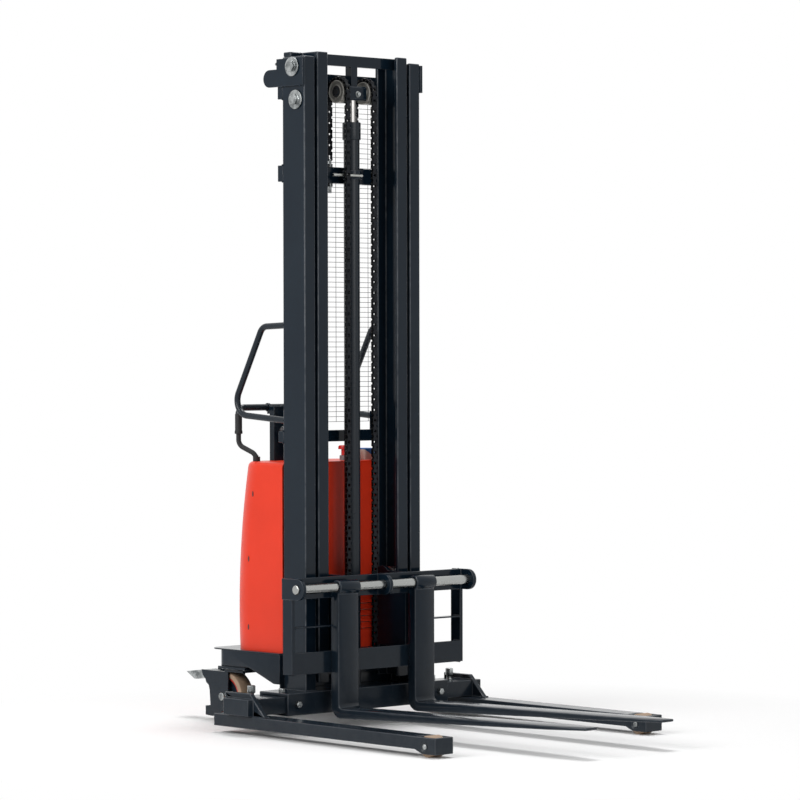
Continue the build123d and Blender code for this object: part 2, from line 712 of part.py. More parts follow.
def crossbar_tube():
    inset = SLEEVE_WALL + SLIDE_CLEAR
    y0 = SLEEVE_FRONT + inset
    y1 = SLEEVE_REAR - inset
    z0 = SLEEVE_FOOT + inset
    z1 = SLEEVE_TOP - inset
    wall = CROSSBAR_WALL
    bar = block(CROSSBAR_INNER, CROSSBAR_OUTER, y0, y1, z0, z1)
    hollow_end = GUSSET_CENTRE - GUSSET_THICK / 2
    bar -= block(CROSSBAR_INNER - 1, hollow_end, y0 + wall, y1 - wall, z0 + wall, z1 - wall)
    bar += rod_z(STOP_BOLT_RADIUS, z1 - wall / 2, z1 + STOP_BOLT_GRIP, STOP_BOLT_X, STOP_BOLT_Y)
    head = Pos(STOP_BOLT_X, STOP_BOLT_Y, z1 + STOP_BOLT_GRIP) * RegularPolygon(STOP_BOLT_HEAD, 6)
    return bar + extrude(head, amount=STOP_BOLT_HEIGHT - STOP_BOLT_GRIP)


def leg():
    x0 = LEG_INNER
    x1 = LEG_OUTER
    wall = LEG_WALL
    front = -LEG_REACH
    beam = block(x0, x1, front, LEG_TAIL, LEG_FOOT, LEG_TOP)
    pocket_rear = LOAD_AXLE_Y + WHEEL_POCKET_HALF
    hollow_front = pocket_rear + LEG_END_WALL
    beam -= block(x0 + wall, x1 - wall, hollow_front, LEG_TAIL - LEG_END_WALL, LEG_FOOT - 1, LEG_TOP - wall)
    nose_rear = front + NOSE_LENGTH
    drop = LEG_FOOT - NOSE_DROP
    points = [(front, drop), (nose_rear - NOSE_SLOPE, drop), (nose_rear, LEG_FOOT)]
    points += [(nose_rear, LEG_TOP), (front, LEG_TOP)]
    beam -= block(x0 - 1, x1 + 1, front - 1, nose_rear, LEG_FOOT - 1, LEG_TOP + 1)
    beam += profile_x(points, x0, x1)
    pocket_front = LOAD_AXLE_Y - WHEEL_POCKET_HALF
    beam -= block(x0 + wall, x1 - wall, pocket_front, pocket_rear, drop - 1, LEG_TOP + 1)
    gusset_points = [(-GUSSET_TOE, LEG_TOP), (-GUSSET_TOP_FRONT, GUSSET_TOP), (GUSSET_REAR, GUSSET_TOP)]
    gusset_points += [(GUSSET_REAR, LEG_TOP)]
    half = GUSSET_THICK / 2
    body = beam + profile_x(gusset_points, GUSSET_CENTRE - half, GUSSET_CENTRE + half) + crossbar_tube()
    body -= rod_x(LOAD_AXLE_RADIUS, x0 - 1, x1 + 1, LOAD_AXLE_Y, LOAD_WHEEL_RADIUS)
    for x in (x0, x1):
        recess = AXLE_RECESS_DEPTH
        body -= rod_x(AXLE_RECESS_RADIUS, x - recess, x + recess, LOAD_AXLE_Y, LOAD_WHEEL_RADIUS)
    return body


def load_axle():
    inset = AXLE_RECESS_DEPTH / 2
    axle = rod_x(LOAD_AXLE_RADIUS, LEG_INNER + inset, LEG_OUTER - inset, LOAD_AXLE_Y, LOAD_WHEEL_RADIUS)
    return chamfer(axle.edges().filter_by(GeomType.CIRCLE), LOAD_AXLE_CHAMFER)


def load_wheel():
    middle = (LEG_INNER + LEG_OUTER) / 2
    half = LOAD_WHEEL_WIDTH / 2
    wheel = rod_x(LOAD_WHEEL_RADIUS, middle - half, middle + half, LOAD_AXLE_Y, LOAD_WHEEL_RADIUS)
    wheel = fillet(wheel.edges().filter_by(GeomType.CIRCLE), LOAD_WHEEL_ROUND)
    fit = LOAD_AXLE_RADIUS + RUNNING_FIT
    return wheel - rod_x(fit, middle - half - 1, middle + half + 1, LOAD_AXLE_Y, LOAD_WHEEL_RADIUS)


# Chassis tray with its caster pads, and the deck over it
def rounded_tray(half, front, rear, corner, z0, z1):
    face = make_face(Polyline((-half, front), (half, front), (half, rear), (-half, rear), close=True))
    face = fillet([near(face, -half, rear), near(face, half, rear)], corner)
    return extrude(Plane.XY.offset(z0) * face, amount=z1 - z0)


def chassis_frame():
    half = CHASSIS_HALF
    wall = CHASSIS_WALL
    front = CHANNEL_DEPTH
    foot = CHASSIS_NOSE_FOOT
    rear = CHASSIS_REAR
    corner = CHASSIS_CORNER
    tray = rounded_tray(half, front, rear, corner, foot, DECK_FOOT)
    tray -= rounded_tray(half - wall, front - 1, rear - wall, corner - wall, foot - 1, DECK_FOOT + 1)
    below = [(CHASSIS_NOSE_END, foot - 1), (CHASSIS_NOSE_END, foot), (CHASSIS_SLOPE_END, CHASSIS_FOOT)]
    below += [(rear + 1, CHASSIS_FOOT), (rear + 1, foot - 1)]
    tray -= profile_x(below, -half - 1, half + 1)
    wall_piece = block(-half + wall, half - wall, front, front + FRONT_WALL_THICK, SLEEVE_TOP, DECK_FOOT)
    tray += wall_piece - rod_y(HOSE_HOLE, front - 1, front + FRONT_WALL_THICK + 1, 0, PORT_Z)
    inner = CASTER_X - CASTER_PLATE_WIDTH / 2
    pad_top = CASTER_PAD_FOOT + CASTER_PAD_THICK
    pad_front = CASTER_Y - CASTER_PLATE_LENGTH / 2
    pad = block(inner, half - wall, pad_front, rear - wall, CASTER_PAD_FOOT, pad_top)
    keep = rounded_tray(half, front, rear, corner, CASTER_PAD_FOOT - 1, pad_top + 1)
    hole = KINGPIN_RADIUS + KINGPIN_CLEAR
    pad = (pad & keep) - rod_z(hole, CASTER_PAD_FOOT - 1, pad_top + 1, CASTER_X, CASTER_Y)
    return tray + pad + other_side(pad)


def deck_plate():
    deck = rounded_tray(DECK_HALF, CHANNEL_DEPTH, DECK_REAR, DECK_CORNER, DECK_FOOT, DECK_TOP)
    return deck - rod_z(HOSE_HOLE, DECK_FOOT - 1, DECK_TOP + 1, 0, VALVE_Y)


# Casters: fixed top plate, swivelling yoke, wheel and foot brake pedal
def caster_plates():
    x = CASTER_PLATE_WIDTH / 2
    y = CASTER_PLATE_LENGTH / 2
    foot = CASTER_PLATE_FOOT
    top = CASTER_PAD_FOOT
    plate = block(CASTER_X - x, CASTER_X + x, CASTER_Y - y, CASTER_Y + y, foot, top)
    plate -= rod_z(KINGPIN_RADIUS + RUNNING_FIT, foot - 1, top + 1, CASTER_X, CASTER_Y)
    return both_sides(plate)


def yoke_outline():
    rear = CASTER_Y + YOKE_REACH
    top = CROWN_FOOT
    nose = CASTER_Y + YOKE_NOSE
    outline = [(nose, top), (rear, top)]
    outline += [(rear + y, top + z) for y, z in YOKE_REAR_STEPS]
    outline += [(rear + y, CASTER_WHEEL_RADIUS + z) for y, z in YOKE_FOOT_STEPS]
    return outline + [(nose + y, CASTER_WHEEL_RADIUS + z) for y, z in YOKE_FRONT_STEPS]


def caster_yoke():
    x = CASTER_X
    outer = YOKE_OUTER
    outline = yoke_outline()
    crown = CASTER_PLATE_WIDTH / 2 - CROWN_INSET
    yoke = block(x - outer, x + outer, CASTER_Y - crown, CASTER_Y + crown, CROWN_FOOT, CROWN_TOP)
    yoke += profile_x(outline, x + YOKE_INNER, x + outer) + profile_x(outline, x - outer, x - YOKE_INNER)
    yoke += rod_z(RACE_RADIUS, CROWN_TOP, CROWN_TOP + RACE_HEIGHT, x, CASTER_Y)
    yoke += rod_z(KINGPIN_RADIUS, CROWN_TOP, CASTER_PAD_FOOT + CASTER_PAD_THICK / 2, x, CASTER_Y)
    yoke += rod_x(CASTER_AXLE_RADIUS, x - outer, x + outer, CASTER_AXLE_Y, CASTER_WHEEL_RADIUS)
    for x0 in (x - outer - AXLE_HEAD_HEIGHT, x + outer):
        yoke += rod_x(AXLE_HEAD_RADIUS, x0, x0 + AXLE_HEAD_HEIGHT, CASTER_AXLE_Y, CASTER_WHEEL_RADIUS)
    return yoke + rod_x(PEDAL_PIN_RADIUS, x - outer, x + outer, CASTER_Y + PEDAL_PIVOT_Y, PEDAL_PIVOT_Z)


def caster_wheel():
    half = CASTER_WHEEL_WIDTH / 2
    y = CASTER_AXLE_Y
    z = CASTER_WHEEL_RADIUS
    depth = CASTER_DISH_DEPTH
    wheel = rod_x(CASTER_WHEEL_RADIUS, CASTER_X - half, CASTER_X + half, y, z)
    wheel = fillet(wheel.edges().filter_by(GeomType.CIRCLE), CASTER_WHEEL_ROUND)
    for x in (CASTER_X - half, CASTER_X + half):
        dish = rod_x(CASTER_DISH_RADIUS, x - depth, x + depth, y, z)
        wheel -= dish - rod_x(CASTER_HUB_RADIUS, x - depth - 1, x + depth + 1, y, z)
    return wheel - rod_x(CASTER_AXLE_RADIUS + RUNNING_FIT, CASTER_X - half - 1, CASTER_X + half + 1, y, z)


def brake_pedal():
    pivot_y = CASTER_Y + PEDAL_PIVOT_Y
    tip = CASTER_Y + PEDAL_REACH
    z = PEDAL_PIVOT_Z
    outline = [(pivot_y + y, z + up) for y, up in PEDAL_ROOT] + [(tip + y, z + up) for y, up in PEDAL_TREAD]
    pedal = profile_x(outline, CASTER_X - PEDAL_HALF, CASTER_X + PEDAL_HALF)
    fit = PEDAL_PIN_RADIUS + RUNNING_FIT
    return pedal - rod_x(fit, CASTER_X - PEDAL_HALF - 1, CASTER_X + PEDAL_HALF + 1, pivot_y, z)


# Fork carriage with its roller plates, shaft and forks
def shaft_plate(x0, x1, rear):
    radius = RAIL_HEIGHT / 2
    plate = block(x0, x1, SHAFT_Y, rear, RAIL_FOOT, RAIL_FOOT + RAIL_HEIGHT)
    plate += rod_x(radius, x0, x1, SHAFT_Y, SHAFT_Z)
    return plate


def carriage_frame():
    half = SIDE_PLATE_HALF
    inner = CARRIAGE_HALF - END_PLATE_THICK
    side_rear = RAIL_FRONT + SIDE_PLATE_DEPTH
    lower_top = LOWER_PLATE_FOOT + LOWER_PLATE_HEIGHT
    frame = block(-inner, inner, RAIL_FRONT, RAIL_REAR, RAIL_FOOT, RAIL_FOOT + RAIL_HEIGHT)
    frame += block(-half, half, RAIL_FRONT, RAIL_REAR, LOWER_PLATE_FOOT, lower_top)
    frame += shaft_plate(MID_PLATE_X, MID_PLATE_X + END_PLATE_THICK, RAIL_REAR)
    side = shaft_plate(inner, CARRIAGE_HALF, side_rear)
    side += block(half - END_PLATE_THICK, half, RAIL_FRONT, side_rear, LOWER_PLATE_FOOT, RAIL_FOOT)
    x1 = ROLLER_PLATE_OUTER
    x0 = x1 - ROLLER_PLATE_THICK
    bar_top = THIN_BAR_FOOT + THIN_BAR_THICK
    side += block(x1, half, RAIL_FRONT, RAIL_FRONT + THIN_BAR_DEPTH, THIN_BAR_FOOT, bar_top)
    crest = ROLLER_PLATE_REAR - TRACK_Y
    side += block(x0, x1, RAIL_REAR, ROLLER_PLATE_REAR, ROLLER_PLATE_FOOT, ROLLER_PLATE_TOP - crest)
    side += block(x0, x1, RAIL_REAR, TRACK_Y, ROLLER_PLATE_FOOT, RAIL_FOOT + RAIL_HEIGHT)
    side += rod_x(crest, x0, x1, TRACK_Y, ROLLER_PLATE_TOP - crest)
    for z in CARRIAGE_ROLLERS:
        side += rod_x(PIN_RADIUS, x0, roller_span(INNER_X)[1], TRACK_Y, z)
    lug0 = CHAIN_X - CHAIN_LUG_HALF
    lug1 = CHAIN_X + CHAIN_LUG_HALF
    side += block(lug0, lug1, RAIL_REAR, CHAIN_LUG_REAR, CHAIN_LUG_FOOT, CHAIN_LUG_TOP)
    frame += side + other_side(side)
    return frame - rod_x(SHAFT_RADIUS, -CARRIAGE_HALF - 1, CARRIAGE_HALF + 1, SHAFT_Y, SHAFT_Z)


def fork_shaft():
    shaft = rod_x(SHAFT_RADIUS, -SHAFT_HALF, SHAFT_HALF, SHAFT_Y, SHAFT_Z)
    return fillet(shaft.edges().filter_by(GeomType.CIRCLE), SHAFT_DOME)


def fork():
    heel_foot = FORK_HEEL_TOP - FORK_HEEL_THICK
    tip_foot = FORK_TIP_TOP - FORK_TIP_THICK
    tip = -FORK_REACH
    outline = [(FORK_BACK, SHAFT_Z), (FORK_BACK, heel_foot), (tip, tip_foot), (tip, FORK_TIP_TOP)]
    outline += [(FORK_FRONT, FORK_HEEL_TOP), (FORK_FRONT, SHAFT_Z)]
    face = make_face(Polyline(*outline, close=True))
    face = fillet(near(face, FORK_BACK, heel_foot), FORK_HEEL_OUTER)
    face = fillet(near(face, FORK_FRONT, FORK_HEEL_TOP), FORK_HEEL_INNER)
    half = FORK_WIDTH / 2
    x = FORK_X
    body = extrude(Plane.YZ.offset(x - half) * face, amount=FORK_WIDTH)
    body += rod_x(FORK_EYE_RADIUS, x - half, x + half, SHAFT_Y, SHAFT_Z)
    body -= rod_x(SHAFT_RADIUS + RUNNING_FIT, x - half - 1, x + half + 1, SHAFT_Y, SHAFT_Z)
    taper = tip + FORK_TAPER_LENGTH
    for side in (-1, 1):
        edge = x + side * half
        beyond = x + side * (half + 1)
        corner = x + side * FORK_TIP_WIDTH / 2
        cut = [(edge, taper), (beyond, taper), (beyond, tip - 1), (corner, tip - 1), (corner, tip)]
        body -= plan(cut, 0, FORK_TIP_TOP + FORK_HEEL_TOP)
    return body


# Cover over the power unit, with a louvred front panel
def cover_solid(inset):
    top = COVER_TOP - inset
    back = (COVER_REAR_FOOT - inset, COVER_REAR_MIDDLE - inset, COVER_REAR_TOP - inset)
    front = COVER_FRONT - inset
    rear_line = ThreePointArc((back[0], DECK_TOP), (back[1], COVER_MIDDLE_Z), (back[2], top))
    outline = rear_line + Polyline((back[2], top), (front, top), (front, DECK_TOP), (back[0], DECK_TOP))
    half = COVER_HALF - inset
    solid = extrude(Plane.YZ.offset(-half) * make_face(outline), amount=2 * half)
    corners = solid.edges().filter_by(lambda edge: abs(edge.center().X) > half - 1).group_by(Axis.Y)[-1]
    solid = fillet(corners, COVER_CORNER - inset)
    rim = solid.edges().group_by(Axis.Z)[-1].filter_by(lambda edge: edge.center().Y > front + 1)
    return fillet(rim, COVER_TOP_ROUND - inset)


def cover_shell():
    return cover_solid(0) - cover_solid(COVER_WALL)


def cover_front_panel():
    half = COVER_HALF - COVER_WALL
    y0 = COVER_FRONT + PANEL_SETBACK
    y1 = y0 + PANEL_THICK
    panel = block(-half, half, y0, y1, DECK_TOP, COVER_TOP - COVER_WALL) & cover_solid(COVER_WALL)
    for row in range(LOUVRE_COUNT):
        z = LOUVRE_FOOT + row * LOUVRE_PITCH
        for x in (-LOUVRE_X, LOUVRE_X):
            length = LOUVRE_LENGTH / 2
            panel -= block(x - length, x + length, y0 - 1, y1 + 1, z, z + LOUVRE_HEIGHT)
    return panel


# Handrails on the mast's rear face
def handrail():
    points = [(CHANNEL_DEPTH, RAIL_UPPER_Z), RAIL_UPPER_BEND, RAIL_LOWER_BEND, (CHANNEL_DEPTH, RAIL_LOWER_Z)]
    path = FilletPolyline(*[(RAIL_X, y, z) for y, z in points], radius=RAIL_BENDS)
    body = tube(path, RAIL_RADIUS)
    reach = RAIL_RADIUS * 2
    face = CHANNEL_DEPTH
    foot = RAIL_LOWER_Z - reach
    return body - block(RAIL_X - reach, RAIL_X + reach, face - reach, face, foot, RAIL_UPPER_Z + reach)


# Control column, push handle with its grip on the right, and the cable from the grip
def control_column():
    half = COLUMN_HALF
    wall = COLUMN_WALL
    rear = COLUMN_FRONT + COLUMN_DEPTH
    inner = half - wall
    column = block(-half, half, COLUMN_FRONT, rear, COVER_TOP, COLUMN_TOP)
    column -= block(-inner, inner, COLUMN_FRONT + wall, rear + 1, COVER_TOP + wall, COLUMN_TOP - wall)
    for x in (-HANDLE_BRACKET_X, HANDLE_BRACKET_X):
        t = HANDLE_BRACKET_THICK / 2
        z0 = HANDLE_Z - 2 * HANDLE_RADIUS
        arm = block(x - t, x + t, COLUMN_FRONT + wall, HANDLE_Y, z0, COLUMN_TOP)
        arm += rod_x(HANDLE_EYE_RADIUS, x - t, x + t, HANDLE_Y, HANDLE_Z)
        column += arm
    column -= rod_x(HANDLE_RADIUS, -half - 1, half + 1, HANDLE_Y, HANDLE_Z)
    column -= rod_y(KEY_STEM_RADIUS, COLUMN_FRONT - 1, COLUMN_FRONT + wall + 1, KEY_X, KEY_Z)
    return column


def handle_bar():
    foot = GRIP_FOOT + GRIP_END_WALL
    end = HANDLE_BRACKET_X + HANDLE_BRACKET_THICK / 2 + HANDLE_STUB
    corners = [(-HANDLE_REACH, foot), (-HANDLE_REACH, HANDLE_Z), (end, HANDLE_Z)]
    path = FilletPolyline(*[(x, HANDLE_Y, z) for x, z in corners], radius=HANDLE_BEND)
    return tube(path, HANDLE_RADIUS)


def handle_grip():
    grip = rod_z(GRIP_RADIUS, GRIP_FOOT, GRIP_FOOT + GRIP_LENGTH, -HANDLE_REACH, HANDLE_Y)
    grip = fillet(grip.edges().filter_by(GeomType.CIRCLE), GRIP_ROUND)
    foot = GRIP_FOOT + GRIP_END_WALL
    return grip - rod_z(HANDLE_RADIUS, foot, GRIP_FOOT + GRIP_LENGTH + 1, -HANDLE_REACH, HANDLE_Y)


def control_cable():
    path = FilletPolyline(*CABLE_ROUTE, radius=CABLE_BEND)
    end_x, end_y, end_z = CABLE_ROUTE[-1]
    gland = rod_z(CABLE_GLAND_RADIUS, COVER_TOP, COVER_TOP + CABLE_GLAND_HEIGHT, end_x, end_y)
    return tube(path, CABLE_RADIUS) + gland


# Controls: emergency stop, instrument pod, key and rocker
def estop_base():
    foot = COVER_TOP
    top = foot + ESTOP_BASE_HEIGHT
    base = rod_z(ESTOP_BASE_RADIUS, foot, top, ESTOP_X, ESTOP_Y)
    base = chamfer(base.edges().group_by(Axis.Z)[-1], ESTOP_BASE_CHAMFER)
    fit = ESTOP_STEM_RADIUS + RUNNING_FIT
    return base - rod_z(fit, foot + ESTOP_FLOOR, top + 1, ESTOP_X, ESTOP_Y)


def estop_button():
    travel = ESTOP_STROKE + PAD_SEAT
    stem_foot = COVER_TOP + ESTOP_FLOOR + travel
    cap_foot = COVER_TOP + ESTOP_BASE_HEIGHT + travel + ESTOP_STEM_SHOW
    cap = rod_z(ESTOP_CAP_RADIUS, cap_foot, cap_foot + ESTOP_CAP_HEIGHT, ESTOP_X, ESTOP_Y)
    cap = fillet(cap.edges().group_by(Axis.Z)[-1], ESTOP_CAP_ROUND)
    return cap + rod_z(ESTOP_STEM_RADIUS, stem_foot, cap_foot, ESTOP_X, ESTOP_Y)


def control_pod():
    x = POD_WIDTH / 2
    y = POD_DEPTH / 2
    pod = block(POD_X - x, POD_X + x, POD_Y - y, POD_Y + y, COVER_TOP, COVER_TOP + POD_HEIGHT)
    pod = fillet(pod.edges().filter_by(Axis.Z), POD_ROUND)
    return fillet(pod.edges().group_by(Axis.Z)[-1], POD_ROUND / 2)


def key():
    thick, height, reach = KEY_BLADE
    face = COLUMN_FRONT
    front = face - KEY_BARREL_LENGTH
    turner = rod_y(KEY_RADIUS, front, face - PAD_SEAT, KEY_X, KEY_Z)
    turner += rod_y(KEY_STEM_RADIUS - RUNNING_FIT, face - 1, face + COLUMN_WALL, KEY_X, KEY_Z)
    x0 = KEY_X - thick / 2
    z0 = KEY_Z - height / 2
    return turner + block(x0, x0 + thick, front - reach, front, z0, z0 + height)


def lift_rocker():
    half = ROCKER_WIDTH / 2
    apex = COLUMN_FRONT - PAD_SEAT
    front = apex - ROCKER_DEPTH
    back = front + ROCKER_EDGE
    z = ROCKER_Z
    tall = ROCKER_HEIGHT / 2
    outline = [(apex, z), (back, z - tall), (front, z - tall), (front + ROCKER_DISH, z), (front, z + tall)]
    return profile_x(outline + [(back, z + tall)], -half, half)


# Power unit: battery, charger, valve block, pump motor, oil tank and the hose to the cylinder
def standing_box(size, x, y, foot):
    width, depth, height = size
    return block(x - width / 2, x + width / 2, y - depth / 2, y + depth / 2, foot, foot + height)


def battery():
    case = standing_box(BATTERY_SIZE, BATTERY_X, BATTERY_Y, DECK_TOP)
    case = fillet(case.edges().filter_by(Axis.Z), BATTERY_ROUND)
    top = DECK_TOP + BATTERY_SIZE[2]
    reach = BATTERY_SIZE[0] / 2 - TERMINAL_INSET
    y = BATTERY_Y - BATTERY_SIZE[1] / 2 + TERMINAL_INSET
    for x in (BATTERY_X - reach, BATTERY_X + reach):
        case += rod_z(TERMINAL_RADIUS, top, top + TERMINAL_HEIGHT, x, y)
    return case


def charger():
    return standing_box(CHARGER_SIZE, BATTERY_X, BATTERY_Y + CHARGER_SETBACK, DECK_TOP + BATTERY_SIZE[2])


def valve_block():
    body = standing_box(VALVE_SIZE, 0, VALVE_Y, DECK_TOP)
    return chamfer(body.edges().filter_by(Axis.Z), VALVE_CHAMFER)


def pump_motor():
    foot = DECK_TOP + VALVE_SIZE[2]
    motor = rod_z(MOTOR_RADIUS, foot, foot + MOTOR_HEIGHT, 0, VALVE_Y)
    return fillet(motor.edges().group_by(Axis.Z)[-1], MOTOR_ROUND)


def hydraulic_tank():
    tank = standing_box(TANK_SIZE, TANK_X, TANK_Y, DECK_TOP)
    tank = fillet(tank.edges().filter_by(Axis.Z), TANK_ROUND)
    top = DECK_TOP + TANK_SIZE[2]
    return tank + rod_z(FILLER_RADIUS, top, top + FILLER_HEIGHT, TANK_X, TANK_Y)


def hydraulic_hose():
    points = [(0, VALVE_Y, DECK_TOP), (0, VALVE_Y, PORT_Z), (0, PORT_REACH, PORT_Z)]
    return tube(FilletPolyline(*points, radius=HOSE_BEND), HOSE_RADIUS)


PIECES = {
    "leg_sleeve": leg_sleeve(),
    "leg_clamp_bolts": leg_clamp_bolts(),
    "chassis_frame": chassis_frame(),
    "deck_plate": deck_plate(),
    "outer_mast": outer_mast(),
    "outer_crossmembers": outer_crossmembers(),
    "mast_side_plates": mast_side_plates(),
    "guide_pads": guide_pads(),
    "guide_bolts": guide_bolts(),
    "mesh_guard": mesh_guard(),
    "lift_cylinder": lift_cylinder(),
    "cylinder_gland": cylinder_gland(),
    "cylinder_clamp": cylinder_clamp(),
    "chain_anchors": chain_anchors(),
    "rear_chains": rear_chains(),
    "cover_shell": cover_shell(),
    "cover_front_panel": cover_front_panel(),
    "handrail_left": handrail(),
    "handrail_right": other_side(handrail()),
    "control_column": control_column(),
    "handle_bar": handle_bar(),
    "handle_grip": handle_grip(),
    "control_cable": control_cable(),
    "estop_base": estop_base(),
    "estop_button": estop_button(),
    "control_pod": control_pod(),
    "key": key(),
    "lift_rocker": lift_rocker(),
    "battery": battery(),
    "charger": charger(),
    "valve_block": valve_block(),
    "pump_motor": pump_motor(),
    "hydraulic_tank": hydraulic_tank(),
    "hydraulic_hose": hydraulic_hose(),
    "caster_plates": caster_plates(),
    "inner_mast": inner_mast(),
    "inner_crossmembers": inner_crossmembers(),
    "inner_rollers": roller_pair(roller_span(OUTER_X), TRACK_Y, inner_roller_z()),
    "piston_rod": piston_rod(),
    "crosshead": crosshead(),
    "chain_pulleys": chain_pulleys(),
    "front_chains": front_chains(),
    "carriage_frame": carriage_frame(),
    "carriage_rollers_lower": roller_pair(roller_span(INNER_X), TRACK_Y, CARRIAGE_ROLLERS[0]),
    "carriage_rollers_upper": roller_pair(roller_span(INNER_X), TRACK_Y, CARRIAGE_ROLLERS[1]),
    "fork_shaft": fork_shaft(),
}

PAIRED = {
    "leg": leg(),
    "load_axle": load_axle(),
    "load_wheel": load_wheel(),
    "caster_yoke": caster_yoke(),
    "caster_wheel": caster_wheel(),
    "brake_pedal": brake_pedal(),
    "fork": fork(),
}

for name, piece in PAIRED.items():
    PIECES[name + "_left"] = piece
    PIECES[name + "_right"] = other_side(piece)

os.makedirs("parts", exist_ok=True)
for name, piece in PIECES.items():
    export_step(Pos(0, MAST_Y, 0) * piece, f"parts/{name}.step")
print(len(PIECES), "nodes, mast front at Y", MAST_Y)
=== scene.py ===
import json
import math

import bmesh
import bpy
from mathutils import Matrix, Vector

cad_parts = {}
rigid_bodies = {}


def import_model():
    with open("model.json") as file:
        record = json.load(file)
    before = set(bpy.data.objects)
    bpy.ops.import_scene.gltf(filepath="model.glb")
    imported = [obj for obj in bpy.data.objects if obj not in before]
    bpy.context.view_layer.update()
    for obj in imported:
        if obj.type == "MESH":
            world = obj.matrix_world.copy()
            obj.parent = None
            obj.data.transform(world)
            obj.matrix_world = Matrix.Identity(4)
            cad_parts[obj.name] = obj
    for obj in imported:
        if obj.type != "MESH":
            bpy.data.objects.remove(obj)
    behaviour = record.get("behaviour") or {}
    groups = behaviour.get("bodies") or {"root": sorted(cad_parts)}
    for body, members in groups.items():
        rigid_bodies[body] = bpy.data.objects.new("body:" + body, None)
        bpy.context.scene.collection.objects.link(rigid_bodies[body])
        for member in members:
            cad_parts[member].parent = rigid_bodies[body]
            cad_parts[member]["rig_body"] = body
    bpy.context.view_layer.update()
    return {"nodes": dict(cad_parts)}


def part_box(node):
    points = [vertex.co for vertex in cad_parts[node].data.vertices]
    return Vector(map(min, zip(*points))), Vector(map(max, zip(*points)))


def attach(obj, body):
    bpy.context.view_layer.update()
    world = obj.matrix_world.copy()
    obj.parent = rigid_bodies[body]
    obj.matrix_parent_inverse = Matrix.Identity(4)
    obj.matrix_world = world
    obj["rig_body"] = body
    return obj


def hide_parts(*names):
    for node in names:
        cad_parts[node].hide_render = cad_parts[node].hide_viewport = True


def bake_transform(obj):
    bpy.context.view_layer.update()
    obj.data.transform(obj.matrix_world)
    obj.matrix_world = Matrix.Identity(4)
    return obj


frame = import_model()
nodes = frame["nodes"]
scene = bpy.context.scene

# Studio: a pale floor that runs out to white, soft lamps on the machine's right side and overhead, a weaker
# one before the forks, and a white surround. The camera stands far off with a long lens, at about half the
# mast's height.
FLOOR_HALF = 60.0
FLOOR_FADE = (0.9, 1.6)
SURROUND_STRENGTH = 0.32
CAMERA_PLACE = (-6.955, -7.375, 1.110)
CAMERA_YAW = -42.91
CAMERA_TILT = 88.52
CAMERA_ROLL = -0.112
CAMERA_LENS = 155.76
CAMERA_SHIFT = 0.0538


def put(tree, kind, **inputs):
    node = tree.nodes.new("ShaderNode" + kind)
    for name, value in inputs.items():
        feed(tree, node.inputs[name.replace("_", " ")], value)
    return node


def feed(tree, socket, value):
    if isinstance(value, bpy.types.NodeSocket):
        tree.links.new(value, socket)
    else:
        socket.default_value = value


def joined(tree, operation, first, second):
    node = tree.nodes.new("ShaderNodeMath")
    node.operation = operation
    feed(tree, node.inputs[0], first)
    feed(tree, node.inputs[1], second)
    return node.outputs[0]


def ramp(tree, value, start, end, low=0.0, high=1.0):
    node = put(tree, "MapRange", Value=value, From_Min=start, From_Max=end, To_Min=low, To_Max=high)
    return node.outputs["Result"]


def background_rays(tree):
    path = put(tree, "LightPath").outputs
    shiny = joined(tree, "MAXIMUM", path["Is Glossy Ray"], path["Is Transmission Ray"])
    return joined(tree, "MAXIMUM", path["Is Camera Ray"], shiny)


def studio_floor():
    bpy.ops.mesh.primitive_plane_add(size=2 * FLOOR_HALF)
    floor = bpy.context.object
    floor.name = "studio_floor"
    finish = bpy.data.materials.new("floor_white")
    finish.use_nodes = True
    tree = finish.node_tree
    tree.nodes.clear()
    place = put(tree, "TexCoord").outputs["Object"]
    reach = put(tree, "VectorMath", Vector=place)
    reach.operation = "LENGTH"
    far = ramp(tree, reach.outputs["Value"], *FLOOR_FADE)
    shade = put(tree, "BsdfPrincipled", Base_Color=(0.88, 0.88, 0.88, 1), Roughness=0.9)
    glow = put(tree, "Emission", Color=(1, 1, 1, 1), Strength=1.0)
    share = joined(tree, "MULTIPLY", far, background_rays(tree))
    both = tree.nodes.new("ShaderNodeMixShader")
    for socket, value in zip(both.inputs, (share, shade.outputs[0], glow.outputs[0])):
        feed(tree, socket, value)
    out = put(tree, "OutputMaterial", Surface=both.outputs[0])
    out.is_active_output = True
    floor.data.materials.append(finish)


def soft_lamp(name, place, aim, size, power):
    lamp = bpy.data.lights.new(name, "AREA")
    lamp.size = size
    lamp.energy = power
    holder = bpy.data.objects.new(name, lamp)
    holder.location = place
    holder.rotation_euler = (Vector(aim) - Vector(place)).to_track_quat("-Z", "Y").to_euler()
    scene.collection.objects.link(holder)


def surround(strength):
    world = bpy.data.worlds.new("surround")
    world.use_nodes = True
    tree = world.node_tree
    back = tree.nodes["Background"]
    feed(tree, back.inputs["Color"], (1, 1, 1, 1))
    level = ramp(tree, background_rays(tree), start=0.0, end=1.0, low=strength, high=1.0)
    feed(tree, back.inputs["Strength"], level)
    scene.world = world


